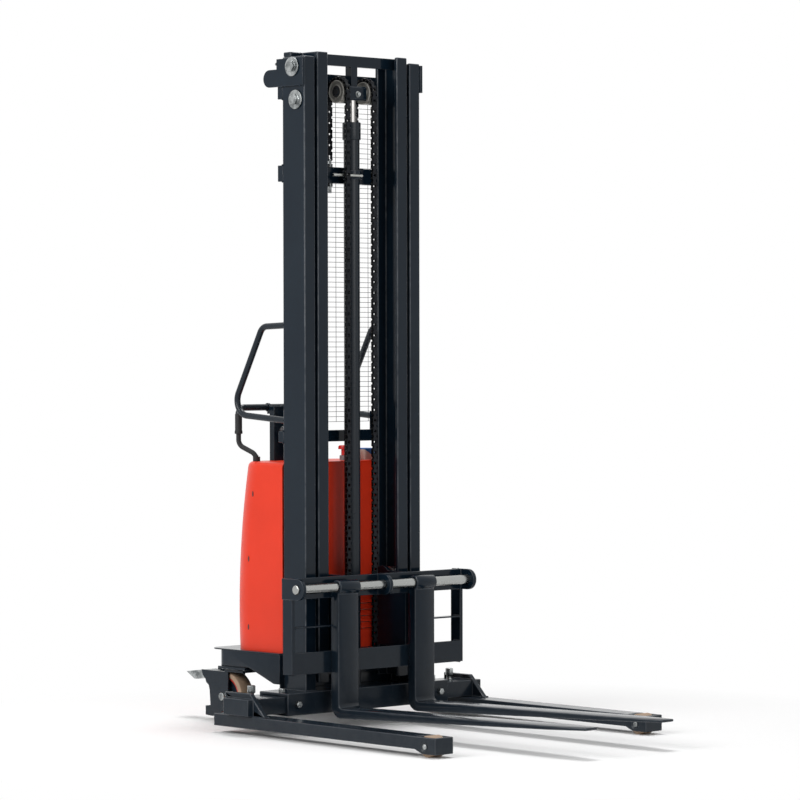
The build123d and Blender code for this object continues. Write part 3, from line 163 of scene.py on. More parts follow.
studio_floor()
surround(SURROUND_STRENGTH)
soft_lamp("side_lamp", place=(-4.5, 0.6, 3.0), aim=(0, 0.2, 0.9), size=3.0, power=165)
soft_lamp("front_lamp", place=(-0.5, -5.5, 2.6), aim=(0, 0, 0.9), size=3.0, power=75)
soft_lamp("top_lamp", place=(0.8, 0.6, 5.4), aim=(0, -0.1, 0), size=2.0, power=165)
camera = bpy.data.objects.new("camera", bpy.data.cameras.new("camera"))
camera.data.lens = CAMERA_LENS
camera.data.shift_y = CAMERA_SHIFT
turn = Matrix.Rotation(math.radians(CAMERA_YAW), 4, "Z")
turn = turn @ Matrix.Rotation(math.radians(CAMERA_TILT), 4, "X")
turn = turn @ Matrix.Rotation(math.radians(CAMERA_ROLL), 4, "Z")
camera.matrix_world = Matrix.Translation(CAMERA_PLACE) @ turn
scene.collection.objects.link(camera)
scene.camera = camera
scene.view_settings.view_transform = "Standard"

# Mast: nested steel channels with crossmembers and head plates, all powder coated dark blue-grey. The rolled
# edges are slightly round, with paint thinned by rubbing and a painted highlight along them, and each
# crossmember is welded to the channels' rear flanges.
CHANNEL_ROUND = 0.0028
CHANNEL_RUB_AND_HIGHLIGHT = 1.0
PLATE_ROUND = 0.0012
EDGE_RUB_AND_HIGHLIGHT = 0.45
CRISP_ANGLE = math.radians(28)
FLAT_ANGLE = math.radians(0.6)
LEAST_BEND = 0.01
MERGE_GAP = 2e-6
WELD_RADIUS = 0.0034
BEAD_SPACING = 1.15
FLANGE_WIDTH = 0.041
CROSS_EDGES = (0.847, 0.881, 1.619, 1.667, 1.862, 1.945)
BEAM_FOOT = 1.965
BEAM_SEAM_DROP = 0.004
DUST_COLOUR = (0.16, 0.15, 0.135, 1)
DUST_REACH = 0.3
DUST_MOST = 0.12
DUST_DULL = 0.8
SCUFF_STRETCH = (90, 90, 5)
SCUFF_WEAR = 0.16
SCUFF_DEPTH = 0.3
RUB_POLISH = 0.1
COLOUR_MIX_INPUTS = (0, 6, 7)
COLOUR_MIX_RESULT = 2


def blended(tree, factor, first, second):
    node = tree.nodes.new("ShaderNodeMix")
    node.data_type = "RGBA"
    for index, value in zip(COLOUR_MIX_INPUTS, (factor, first, second)):
        feed(tree, node.inputs[index], value)
    return node.outputs[COLOUR_MIX_RESULT]


def shared_effect(name, inputs, outputs):
    tree = bpy.data.node_groups.new(name, "ShaderNodeTree")
    for way, titles in (("INPUT", inputs), ("OUTPUT", outputs)):
        for title in titles:
            kind = "NodeSocketColor" if "olour" in title else "NodeSocketFloat"
            tree.interface.new_socket(title, in_out=way, socket_type=kind)
    return tree, tree.nodes.new("NodeGroupInput").outputs, tree.nodes.new("NodeGroupOutput").inputs


def noise(tree, place, scale, detail=3.0, rough=0.55):
    return put(tree, "TexNoise", Vector=place, Scale=scale, Detail=detail, Roughness=rough).outputs["Fac"]


def powder_coat_effect():
    """Paint with cloudy shades, a fine peel, upright scuffs, edges paled by rubbing and a painted highlight,
    and some dust near the floor.
    """
    tree, given, result = shared_effect(
        "powder_coat", ("Colour", "Second colour", "Rubbed colour", "Dullness", "Wear"),
        ("Colour", "Roughness", "Height"))
    place = put(tree, "TexCoord").outputs["Object"]
    cloud = noise(tree, place, scale=6.0, detail=5.0, rough=0.62)
    peel = noise(tree, place, scale=520.0, detail=2.0)
    lines = put(tree, "Mapping", Vector=place, Scale=SCUFF_STRETCH).outputs["Vector"]
    scuff = ramp(tree, noise(tree, lines, scale=3.0, detail=4.0, rough=0.7), start=0.66, end=0.78)
    # The bevel mark and the scuffs blend towards the third colour: paint thinned by rubbing, and on edges a
    # painted highlight.
    rub_and_highlight = put(tree, "Attribute")
    rub_and_highlight.attribute_name = "rubbed_and_highlit"
    spots = noise(tree, place, scale=26.0, detail=4.0, rough=0.6)
    patchy = ramp(tree, spots, start=0.38, end=0.6, low=0.45, high=1.0)
    edge = joined(tree, "MULTIPLY", rub_and_highlight.outputs["Fac"], patchy)
    scuffed_and_highlit = joined(tree, "MAXIMUM", edge, joined(tree, "MULTIPLY", scuff, SCUFF_WEAR))
    worn_and_highlit = joined(tree, "MULTIPLY", scuffed_and_highlit, given["Wear"])
    height = put(tree, "SeparateXYZ", Vector=place).outputs["Z"]
    low = ramp(tree, height, start=DUST_REACH, end=0.0, low=0.0, high=DUST_MOST)
    dust = joined(tree, "MULTIPLY", low, noise(tree, place, scale=24.0, detail=5.0, rough=0.65))
    shade = blended(tree, ramp(tree, cloud, start=0.3, end=0.7), given["Colour"], given["Second colour"])
    shade = blended(tree, worn_and_highlit, shade, given["Rubbed colour"])
    feed(tree, result["Colour"], blended(tree, dust, shade, DUST_COLOUR))
    spread = ramp(tree, cloud, start=0.25, end=0.75, low=-0.05, high=0.07)
    dull = joined(tree, "ADD", spread, joined(tree, "MULTIPLY", dust, DUST_DULL))
    rough = joined(tree, "ADD", given["Dullness"], dull)
    polish = joined(tree, "MULTIPLY", edge, RUB_POLISH)
    feed(tree, result["Roughness"], joined(tree, "SUBTRACT", rough, polish))
    groove = joined(tree, "MULTIPLY", scuff, SCUFF_DEPTH)
    feed(tree, result["Height"], joined(tree, "SUBTRACT", peel, groove))
    return tree


def surface(name, effect, bump, settings, **values):
    finish = bpy.data.materials.new(name)
    finish.use_nodes = True
    tree = finish.node_tree
    shader = tree.nodes["Principled BSDF"]
    group = tree.nodes.new("ShaderNodeGroup")
    group.node_tree = effect
    for title, value in values.items():
        feed(tree, group.inputs[title.replace("_", " ")], value)
    feed(tree, shader.inputs["Base Color"], group.outputs["Colour"])
    feed(tree, shader.inputs["Roughness"], group.outputs["Roughness"])
    strength, distance = bump
    relief = put(tree, "Bump", Height=group.outputs["Height"], Strength=strength, Distance=distance)
    feed(tree, shader.inputs["Normal"], relief.outputs["Normal"])
    for title, value in settings.items():
        shader.inputs[title].default_value = value
    return finish


powder_coat = powder_coat_effect()
# Its third colour, far paler than the paint, lightens edges and scuffs: partly rubbing, partly a painted
# highlight.
dark_coat = surface(
    "dark_coat", powder_coat, bump=(0.04, 0.0006), settings={"Specular IOR Level": 0.2},
    Colour=(0.0034, 0.0094, 0.0175, 1), Second_colour=(0.0054, 0.0124, 0.0208, 1),
    Rubbed_colour=(0.085, 0.095, 0.108, 1), Dullness=0.12, Wear=0.8)


def placed(name, shape, coats):
    mesh = bpy.data.meshes.new(name)
    shape.to_mesh(mesh)
    shape.free()
    for coat in coats:
        mesh.materials.append(coat)
    made = bpy.data.objects.new(name, mesh)
    scene.collection.objects.link(made)
    return made


def finished(name, shape, finish, body):
    made = placed(name, shape, [finish])
    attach(made, body)
    return made


def inside(point, low, high):
    return all(low[i] <= point[i] <= high[i] for i in range(3))


def edged(node, finish, width, patches=(), rub_and_highlight=EDGE_RUB_AND_HIGHLIGHT):
    """A copy of a solid, its sharp edges rounded and marked for rubbing and a painted highlight; patches are
    boxes in another finish.
    """
    shape = bmesh.new()
    shape.from_mesh(nodes[node].data)
    bmesh.ops.remove_doubles(shape, verts=shape.verts, dist=MERGE_GAP)
    bmesh.ops.dissolve_limit(shape, angle_limit=FLAT_ANGLE, verts=shape.verts, edges=shape.edges)
    bend = {edge: edge.calc_face_angle(0.0) for edge in shape.edges if edge.is_manifold}
    for face in shape.faces:
        face.material_index = 0
        face.smooth = any(LEAST_BEND < bend.get(edge, 0.0) < CRISP_ANGLE for edge in face.edges)
        for number, (low, high, coat) in enumerate(patches, 1):
            if inside(face.calc_center_median(), low, high):
                face.material_index = number
    # This mark lightens the bevel faces: paint thinned by rubbing, plus a painted highlight along each edge.
    rubbed_and_highlit = shape.loops.layers.float.new("rubbed_and_highlit")
    crisp = [edge for edge, angle in bend.items() if angle > CRISP_ANGLE]
    cut = bmesh.ops.bevel(shape, geom=crisp, offset=width, offset_type="OFFSET", affect="EDGES", segments=2,
                          profile=0.5, clamp_overlap=False, material=-1)
    for face in cut["faces"]:
        face.smooth = True
        for loop in face.loops:
            loop[rubbed_and_highlit] = rub_and_highlight
    coats = [finish] + [coat for low, high, coat in patches]
    made = placed(node + "_edged", shape, coats)
    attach(made, nodes[node]["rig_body"])
    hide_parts(node)


def weld_beads(name, runs, body, radius=WELD_RADIUS):
    """Painted weld seams, each a close row of beads along a run, with one bead where two runs meet."""
    places = []
    for start, end in runs:
        start = Vector(start)
        end = Vector(end)
        count = max(1, round((end - start).length / (BEAD_SPACING * radius)))
        for step in range(count + 1):
            place = start.lerp(end, step / count)
            if all((place - other).length > MERGE_GAP for other in places):
                places.append(place)
    shape = bmesh.new()
    for place in places:
        bmesh.ops.create_icosphere(shape, subdivisions=2, radius=radius, matrix=Matrix.Translation(place))
    for face in shape.faces:
        face.smooth = True
    finished(name, shape, dark_coat, body)


for node in ("outer_mast", "inner_mast"):
    edged(node, dark_coat, CHANNEL_ROUND, rub_and_highlight=CHANNEL_RUB_AND_HIGHLIGHT)
for node in ("outer_crossmembers", "mast_side_plates", "inner_crossmembers"):
    edged(node, dark_coat, PLATE_ROUND)
mast_low, mast_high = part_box("outer_mast")
beam_low, beam_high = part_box("inner_crossmembers")
seams = []
beam_seams = []
for side in (-1, 1):
    tip = side * (mast_high.x - FLANGE_WIDTH)
    edge = side * mast_high.x
    for z in CROSS_EDGES:
        seams.append(((tip, mast_high.y, z), (edge, mast_high.y, z)))
    seams.append(((edge, mast_low.y, mast_low.z), (edge, mast_high.y, mast_low.z)))
    seams.append(((tip, mast_low.y, mast_low.z), (edge, mast_low.y, mast_low.z)))
    end = side * beam_high.x
    beam_seams.append(((end, beam_low.y, BEAM_FOOT), (end, beam_low.y, beam_high.z - BEAM_SEAM_DROP)))
weld_beads("outer_mast_seams", seams, "chassis")
weld_beads("inner_mast_seams", beam_seams, "inner_mast")

# Guide pads and their bolts at the mast's head: nylon blocks held through the web by zinc-plated bolts, each
# with a broad washer and a hexagon nut on the outside, and an adjusting screw in each head plate's rear edge.
WASHER_HEIGHT = 0.22
WASHER_FOOT = 1.35
WASHER_TOP = 1.3
HEXAGON_TOP = 0.94
HEAD_SCREW_INSET = 0.005
HEAD_SCREW_Y = 0.114
HEAD_SCREW_Z = 1.966
CLOSE_GAP = 4e-6
FLAKE_TINT = 0.18
FLAKE_DEPTH = 0.5
STAIN_DULL = 0.1
CLOUD_TINT = 0.35
PLASTIC_SCUFF_TINT = 0.3
PLASTIC_SCUFF_DEPTH = 0.4


def plating_effect():
    """Metal with a fine flaky grain, cloudy gloss and darker, duller stains, which on zinc also paint dark
    reflections.
    """
    tree, given, result = shared_effect(
        "plating", ("Colour", "Second colour", "Dullness", "Grain", "Stain"),
        ("Colour", "Roughness", "Height"))
    place = put(tree, "TexCoord").outputs["Object"]
    cloud = noise(tree, place, scale=60.0, detail=4.0, rough=0.6)
    cells = put(tree, "TexVoronoi", Vector=place, Scale=given["Grain"]).outputs["Color"]
    flake = put(tree, "SeparateColor", Color=cells).outputs["Red"]
    # Dark patches: real stains, and on the bright zinc also a painted dark reflection.
    patch = ramp(tree, noise(tree, place, scale=34.0, detail=5.0, rough=0.65), start=0.40, end=0.62)
    stain_and_reflection = joined(tree, "MULTIPLY", patch, given["Stain"])
    speck = ramp(tree, flake, start=0.0, end=1.0, low=0.0, high=FLAKE_TINT)
    shade = blended(tree, speck, given["Colour"], given["Second colour"])
    shade = blended(tree, stain_and_reflection, shade, given["Second colour"])
    feed(tree, result["Colour"], shade)
    dull = joined(tree, "MULTIPLY", stain_and_reflection, STAIN_DULL)
    spread = joined(tree, "ADD", ramp(tree, cloud, start=0.3, end=0.7, low=-0.06, high=0.1), dull)
    feed(tree, result["Roughness"], joined(tree, "ADD", given["Dullness"], spread))
    grit = noise(tree, place, scale=700.0)
    feed(tree, result["Height"], joined(tree, "ADD", joined(tree, "MULTIPLY", flake, FLAKE_DEPTH), grit))
    return tree


def moulding_effect():
    """Plastic or rubber with a pitted skin, cloudy shades and fine scuffs."""
    tree, given, result = shared_effect(
        "moulding", ("Colour", "Second colour", "Dullness", "Grain"), ("Colour", "Roughness", "Height"))
    place = put(tree, "TexCoord").outputs["Object"]
    cloud = noise(tree, place, scale=14.0, detail=4.0, rough=0.6)
    pits = put(tree, "TexVoronoi", Vector=place, Scale=given["Grain"]).outputs["Distance"]
    scuff = ramp(tree, noise(tree, place, scale=48.0, detail=5.0, rough=0.7), start=0.55, end=0.75)
    tint = ramp(tree, cloud, start=0.3, end=0.7, low=0.0, high=CLOUD_TINT)
    shade = blended(tree, tint, given["Colour"], given["Second colour"])
    marks = joined(tree, "MULTIPLY", scuff, PLASTIC_SCUFF_TINT)
    feed(tree, result["Colour"], blended(tree, marks, shade, given["Second colour"]))
    spread = ramp(tree, cloud, start=0.2, end=0.8, low=-0.06, high=0.08)
    feed(tree, result["Roughness"], joined(tree, "ADD", given["Dullness"], spread))
    groove = joined(tree, "MULTIPLY", scuff, PLASTIC_SCUFF_DEPTH)
    feed(tree, result["Height"], joined(tree, "SUBTRACT", pits, groove))
    return tree


plating = plating_effect()
moulding = moulding_effect()
metal = {"Metallic": 1.0}
# Zinc: its large dark stained patches are partly real staining and partly a painted dark reflection.
zinc_plate = surface(
    "zinc_plate", plating, bump=(0.12, 0.0003), settings=metal,
    Colour=(0.46, 0.48, 0.48, 1), Second_colour=(0.10, 0.110, 0.113, 1), Dullness=0.22, Grain=420.0,
    Stain=0.85)
turned_steel = surface(
    "turned_steel", plating, bump=(0.1, 0.0003), settings=metal,
    Colour=(0.26, 0.26, 0.27, 1), Second_colour=(0.14, 0.135, 0.13, 1), Dullness=0.34, Grain=900.0, Stain=0.5)
nylon = surface(
    "nylon", moulding, bump=(0.15, 0.0004), settings={"Specular IOR Level": 0.4},
    Colour=(0.022, 0.022, 0.024, 1), Second_colour=(0.05, 0.05, 0.052, 1), Dullness=0.5, Grain=600.0)


def closed_smooth(shape):
    bmesh.ops.remove_doubles(shape, verts=shape.verts, dist=CLOSE_GAP)
    bmesh.ops.recalc_face_normals(shape, faces=shape.faces)
    for face in shape.faces:
        face.smooth = True
    for edge in shape.edges:
        edge.smooth = edge.calc_face_angle(0.0) < CRISP_ANGLE


def hexagon_bolts(name, places, radius, height, axis, body):
    """Plated bolt heads with washers; each place is the middle of the seat, and axis points out of it."""
    shape = bmesh.new()
    turn = Vector((0, 0, 1)).rotation_difference(Vector(axis)).to_matrix().to_4x4()
    washer = WASHER_HEIGHT * height
    for place in places:
        seat = Matrix.Translation(place) @ turn
        flat = seat @ Matrix.Translation((0, 0, washer / 2))
        bmesh.ops.create_cone(shape, cap_ends=True, segments=24, radius1=WASHER_FOOT * radius,
                              radius2=WASHER_TOP * radius, depth=washer, matrix=flat)
        middle = seat @ Matrix.Translation((0, 0, washer + height / 2))
        bmesh.ops.create_cone(shape, cap_ends=True, segments=6, radius1=radius, radius2=HEXAGON_TOP * radius,
                              depth=height, matrix=middle)
    closed_smooth(shape)
    finished(name, shape, zinc_plate, body)


edged("guide_bolts", zinc_plate, width=0.0008)
edged("guide_pads", nylon, width=0.001)
plate_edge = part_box("mast_side_plates")[1].x - HEAD_SCREW_INSET
head_screws = [(side * plate_edge, mast_low.y + HEAD_SCREW_Y, HEAD_SCREW_Z) for side in (-1, 1)]
hexagon_bolts("head_plate_screws", head_screws, radius=0.0045, height=0.006, axis=(0, 1, 0), body="chassis")

# Guide rollers: hardened steel bearing rollers on pins, one pair on the inner mast and two on the carriage.
# Each has a turned outer ring, a sunk seal groove and an inner ring.
ROLLER_HALF = 0.0145
ROLLER_BORE = 0.0122
ROLLER_CHAMFER = 0.002
GROOVE_REACH = (0.34, 0.62)
GROOVE_DEPTH = 0.0012
INNER_RING_DEPTH = 0.0002


def turned(shape, outline, centre, steps=40, ring=True):
    """Spins (along X, radius) points about a line through centre along X; a ring's outline is closed."""
    centre = Vector(centre)
    points = [shape.verts.new(centre + Vector((along, 0, radius))) for along, radius in outline]
    pairs = list(zip(points, points[1:]))
    if ring:
        pairs.append((points[-1], points[0]))
    lines = [shape.edges.new(pair) for pair in pairs]
    bmesh.ops.spin(shape, geom=points + lines, cent=centre, axis=(1, 0, 0), angle=2 * math.pi, steps=steps,
                   use_merge=True)


def both_faces(half_outline):
    return [(-x, r) for x, r in half_outline] + [(x, r) for x, r in reversed(half_outline)]


def roller_outline(rim):
    seal, groove = [ROLLER_BORE + share * (rim - ROLLER_BORE) for share in GROOVE_REACH]
    deep = ROLLER_HALF - GROOVE_DEPTH
    face = ROLLER_HALF - INNER_RING_DEPTH
    half_outline = [(deep, ROLLER_BORE), (face, ROLLER_BORE), (face, seal), (deep, seal), (deep, groove)]
    half_outline += [(ROLLER_HALF, groove), (ROLLER_HALF, rim - ROLLER_CHAMFER)]
    half_outline += [(ROLLER_HALF - ROLLER_CHAMFER, rim)]
    return both_faces(half_outline)


for node in ("inner_rollers", "carriage_rollers_lower", "carriage_rollers_upper"):
    low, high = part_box(node)
    outline = roller_outline((high.z - low.z) / 2)
    shape = bmesh.new()
    for side in (-1, 1):
        x = side * (high.x - ROLLER_HALF)
        turned(shape, outline, (x, (low.y + high.y) / 2, (low.z + high.z) / 2))
    closed_smooth(shape)
    rollers = finished(node + "_turned", shape, turned_steel, node)
    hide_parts(node)

# Lift cylinder: a painted tube with a turned gland and a chromed rod, held to the chain crossmember by a
# clamp with a bright tie bar across its front.
TIE_BAR_ENDS = (-0.101, 0.015)
TIE_BAR_RADIUS = 0.0042
TIE_BAR_CHAMFER = 0.001
TIE_BAR_AHEAD = 0.001
TIE_BAR_Z = 1.641
ground_steel = surface(
    "ground_steel", plating, bump=(0.015, 0.0001), settings=metal,
    Colour=(0.44, 0.45, 0.43, 1), Second_colour=(0.30, 0.31, 0.29, 1), Dullness=0.2, Grain=1100.0, Stain=0.4)
chrome = surface(
    "chrome", plating, bump=(0.02, 0.0002), settings=metal,
    Colour=(0.40, 0.39, 0.38, 1), Second_colour=(0.28, 0.27, 0.26, 1), Dullness=0.08, Grain=1500.0, Stain=0.4)
tube_coat = surface(
    "tube_coat", powder_coat, bump=(0.15, 0.0005), settings={"Specular IOR Level": 0.25},
    Colour=(0.0066, 0.0115, 0.0175, 1), Second_colour=(0.0090, 0.0145, 0.0210, 1),
    Rubbed_colour=(0.06, 0.067, 0.075, 1), Dullness=0.27, Wear=0.4)


def dressed(node, finish):
    mesh = nodes[node].data
    mesh.materials.clear()
    mesh.materials.append(finish)


dressed("piston_rod", chrome)
dressed("lift_cylinder", tube_coat)
edged("cylinder_gland", tube_coat, width=0.0006)
edged("cylinder_clamp", dark_coat, width=0.001)
clamp_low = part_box("cylinder_clamp")[0]
left, right = TIE_BAR_ENDS
end_radius = TIE_BAR_RADIUS - TIE_BAR_CHAMFER
bar_outline = [(left, 0.0), (left, end_radius), (left + TIE_BAR_CHAMFER, TIE_BAR_RADIUS)]
bar_outline += [(right - TIE_BAR_CHAMFER, TIE_BAR_RADIUS), (right, end_radius), (right, 0.0)]
shape = bmesh.new()
turned(shape, bar_outline, (0, clamp_low.y - TIE_BAR_AHEAD, TIE_BAR_Z), steps=20, ring=False)
closed_smooth(shape)
finished("clamp_tie_bar", shape, ground_steel, "chassis")

# Crosshead and chain pulleys: a painted block on the rod's end, with a bolt in its face, carries two plated
# pulleys with a recessed web and dark bearing covers on a through pin.
CROSSHEAD_BOLT_X = 0.004
CROSSHEAD_BOLT_Z = 1.884
PULLEY_HALF = 0.010
PULLEY_COVER = 0.0175
PULLEY_RECESS = 0.0013
HUB_LAND = 0.0025
HUB_SLOPE_END = 0.0035
RIM_SLOPE_FOOT = 0.0055
RIM_LAND = 0.0045
RIM_ROUND = 0.0015
COVER_DEPTH = 0.004
COVER_SINK = 0.001
COVER_GAP = 0.0001
PIN_FOOT = 0.0095
PIN_END = 0.009
PIN_PROUD = 0.001
pulley_steel = surface(
    "pulley_steel", plating, bump=(0.06, 0.0003), settings={"Metallic": 0.3},
    Colour=(0.34, 0.33, 0.30, 1), Second_colour=(0.21, 0.20, 0.18, 1), Dullness=0.32, Grain=800.0, Stain=0.5)
edged("crosshead", dark_coat, width=0.001)
head_bolt = (CROSSHEAD_BOLT_X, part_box("crosshead")[0].y, CROSSHEAD_BOLT_Z)
hexagon_bolts("crosshead_bolt", [head_bolt], radius=0.007, height=0.006, axis=(0, -1, 0), body="inner_mast")
pulley_low, pulley_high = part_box("chain_pulleys")
pulley_rim = (pulley_high.z - pulley_low.z) / 2
pulley_axis = (pulley_low + pulley_high) / 2
web = PULLEY_HALF - PULLEY_RECESS
rim_face = [(PULLEY_HALF, PULLEY_COVER), (PULLEY_HALF, PULLEY_COVER + HUB_LAND)]
rim_face += [(web, PULLEY_COVER + HUB_SLOPE_END), (web, pulley_rim - RIM_SLOPE_FOOT)]
rim_face += [(PULLEY_HALF, pulley_rim - RIM_LAND), (PULLEY_HALF, pulley_rim - RIM_ROUND)]
rim_face += [(PULLEY_HALF - RIM_ROUND, pulley_rim)]
cover_back = PULLEY_HALF - COVER_DEPTH
cover_face = PULLEY_HALF - COVER_SINK
cover_edge = PULLEY_COVER - COVER_GAP
pin_face = PULLEY_HALF + PIN_PROUD
cap = [(cover_back, 0.0), (cover_back, cover_edge), (cover_face, cover_edge)]
cap += [(cover_face, PIN_FOOT), (pin_face, PIN_END), (pin_face, 0.0)]
shape = bmesh.new()
covers = bmesh.new()
for side in (-1, 1):
    centre = (side * (pulley_high.x - PULLEY_HALF), pulley_axis.y, pulley_axis.z)
    turned(shape, both_faces(rim_face), centre, steps=48)
    for face_side in (-1, 1):
        turned(covers, [(face_side * along, radius) for along, radius in cap], centre, ring=False)
closed_smooth(shape)
closed_smooth(covers)
pulleys = finished("chain_pulleys_turned", shape, pulley_steel, "chain_pulleys")
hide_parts("chain_pulleys")
finished("pulley_covers", covers, nylon, "chain_pulleys")

# Leaf chains: rows of waisted steel plates on riveted pins, oiled dark, laced two and three. Each chain runs
# from the carriage up over its pulley and down to a threaded anchor on the outer mast.
LINK_PITCH = 0.015875
PLATE_HEIGHT = 0.0116
PLATE_THICK = 0.0033
PLATE_WAIST = 0.66
LINK_PIN = 0.0027
PIN_REACH = 0.75
OUTER_ROWS = (-0.0068, 0.0068)
INNER_ROWS = (-0.0034, 0.0, 0.0034)
CHAIN_INSET = 0.0001
MIDDLE_GAP = 1e-5
chain_steel = surface(
    "chain_steel", plating, bump=(0.1, 0.0003), settings=metal,
    Colour=(0.020, 0.022, 0.026, 1), Second_colour=(0.012, 0.012, 0.013, 1), Dullness=0.38, Grain=700.0,
    Stain=0.5)
rivet_steel = surface(
    "rivet_steel", plating, bump=(0.05, 0.0003), settings=metal,
    Colour=(0.17, 0.17, 0.16, 1), Second_colour=(0.09, 0.09, 0.085, 1), Dullness=0.32, Grain=900.0, Stain=0.5)
front_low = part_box("front_chains")[0]
rear_low, rear_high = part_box("rear_chains")
chain_x = pulley_high.x - PULLEY_HALF
chain_radius = rear_high.y - PLATE_HEIGHT / 2 - CHAIN_INSET - pulley_axis.y
front_y = pulley_axis.y - chain_radius
rear_y = pulley_axis.y + chain_radius


def chain_link(rows, pitch):
    """One link about the origin: waisted plates in rows along X, with a pin through the upper end."""
    shape = bmesh.new()
    across = Matrix.Rotation(math.pi / 2, 4, "Y")
    for x in rows:
        made = bmesh.ops.create_cone(shape, cap_ends=True, segments=12, radius1=PLATE_HEIGHT / 2,
                                     radius2=PLATE_HEIGHT / 2, depth=PLATE_THICK,
                                     matrix=Matrix.Translation((x, 0, 0)) @ across)
        for vert in made["verts"]:
            if abs(vert.co.z) < MIDDLE_GAP:
                vert.co.y *= PLATE_WAIST
            else:
                vert.co.z += math.copysign(pitch / 2, vert.co.z)
    span = 2 * (OUTER_ROWS[-1] + PIN_REACH * PLATE_THICK)
    rivet = bmesh.ops.create_cone(shape, cap_ends=True, segments=8, radius1=LINK_PIN, radius2=LINK_PIN,
                                  depth=span, matrix=Matrix.Translation((0, 0, pitch / 2)) @ across)
    for vert in rivet["verts"]:
        for face in vert.link_faces:
            face.material_index = 1
    mesh = bpy.data.meshes.new("chain_link")
    shape.to_mesh(mesh)
    shape.free()
    return mesh


def chain(name, stations, pitch):
    """Chain links at (Y, Z, lean) stations on both lanes, alternating outer and inner rows of plates."""
    links = [chain_link(rows, pitch) for rows in (OUTER_ROWS, INNER_ROWS)]
    shape = bmesh.new()
    for lane in (-chain_x, chain_x):
        for number, (y, z, lean) in enumerate(stations):
            before = len(shape.verts)
            shape.from_mesh(links[number % 2])
            shape.verts.ensure_lookup_table()
            place = Matrix.Translation((lane, y, z)) @ Matrix.Rotation(lean, 4, "X")
            bmesh.ops.transform(shape, matrix=place, verts=shape.verts[before:])
    closed_smooth(shape)
    return placed(name, shape, [chain_steel, rivet_steel])


def upright_run(y, foot, top):
    count = round((top - foot) / LINK_PITCH)
    pitch = (top - foot) / count
    return [(y, foot + (step + 0.5) * pitch, 0.0) for step in range(count)], pitch


front_run = chain("front_chain_runs", *upright_run(front_y, front_low.z, pulley_axis.z))
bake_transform(front_run)
rear_run = chain("rear_chain_runs", *upright_run(rear_y, rear_low.z, pulley_axis.z))
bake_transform(rear_run)
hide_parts("rear_chains")
arc_count = round(math.pi * chain_radius / LINK_PITCH)
arc_step = math.pi / arc_count
arc = []
for step in range(arc_count):
    angle = math.pi - (step + 0.5) * arc_step
    y = pulley_axis.y + chain_radius * math.cos(angle)
    arc.append((y, pulley_axis.z + chain_radius * math.sin(angle), angle - math.pi))
over_run = chain("pulley_chain_arcs", arc, 2 * chain_radius * math.sin(arc_step / 2))
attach(over_run, "inner_mast")
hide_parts("front_chains")
edged("chain_anchors", zinc_plate, width=0.0006)

# Mesh guard: welded wire with close horizontal wires and wider upright ones, on the rear of the mast's
# crossmembers. Two flat straps at its foot are bolted to the lowest one.
WIRE_RADIUS = 0.0007
WIRE_RISE = 0.0151
WIRE_STEP = 0.0436
STRAP_HALF = 0.012
STRAP_X = 0.150
STRAP_LAP = 0.03
STRAP_BOLT_RISE = 0.009
NET_FOOT = 0.905
net_low, net_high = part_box("mesh_guard")
net_half = (net_high.x - net_low.x) / 2 - WIRE_RADIUS
net_tall = net_high.z - NET_FOOT


def wire(shape, start, end):
    start = Vector(start)
    line = Vector(end) - start
    turn = Vector((0, 0, 1)).rotation_difference(line.normalized()).to_matrix().to_4x4()
    bmesh.ops.create_cone(shape, cap_ends=True, segments=8, radius1=WIRE_RADIUS, radius2=WIRE_RADIUS,
                          depth=line.length, matrix=Matrix.Translation(start + line / 2) @ turn)


shape = bmesh.new()
rows = round(net_tall / WIRE_RISE)
for row in range(rows + 1):
    z = NET_FOOT + WIRE_RADIUS + row * (net_tall - 2 * WIRE_RADIUS) / rows
    wire(shape, (-net_half, net_low.y + WIRE_RADIUS, z), (net_half, net_low.y + WIRE_RADIUS, z))
columns = 2 * math.floor(net_half / WIRE_STEP) + 1
upright_y = net_low.y + 3 * WIRE_RADIUS
for x in [(column - (columns - 1) / 2) * WIRE_STEP for column in range(columns)] + [-net_half, net_half]:
    wire(shape, (x, upright_y, NET_FOOT), (x, upright_y, net_high.z))
strap_top = NET_FOOT + STRAP_LAP
for side in (-1, 1):
    middle = (side * STRAP_X, (net_low.y + net_high.y) / 2, (net_low.z + strap_top) / 2)
    strap = Matrix.Diagonal((2 * STRAP_HALF, net_high.y - net_low.y, strap_top - net_low.z, 1))
    bmesh.ops.create_cube(shape, size=1, matrix=Matrix.Translation(middle) @ strap)
closed_smooth(shape)
guard = finished("mesh_guard_wires", shape, dark_coat, "chassis")
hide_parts("mesh_guard")
strap_bolts = [(side * STRAP_X, net_high.y, net_low.z + STRAP_BOLT_RISE) for side in (-1, 1)]
hexagon_bolts("guard_strap_bolts", strap_bolts, radius=0.0055, height=0.004, axis=(0, 1, 0), body="chassis")

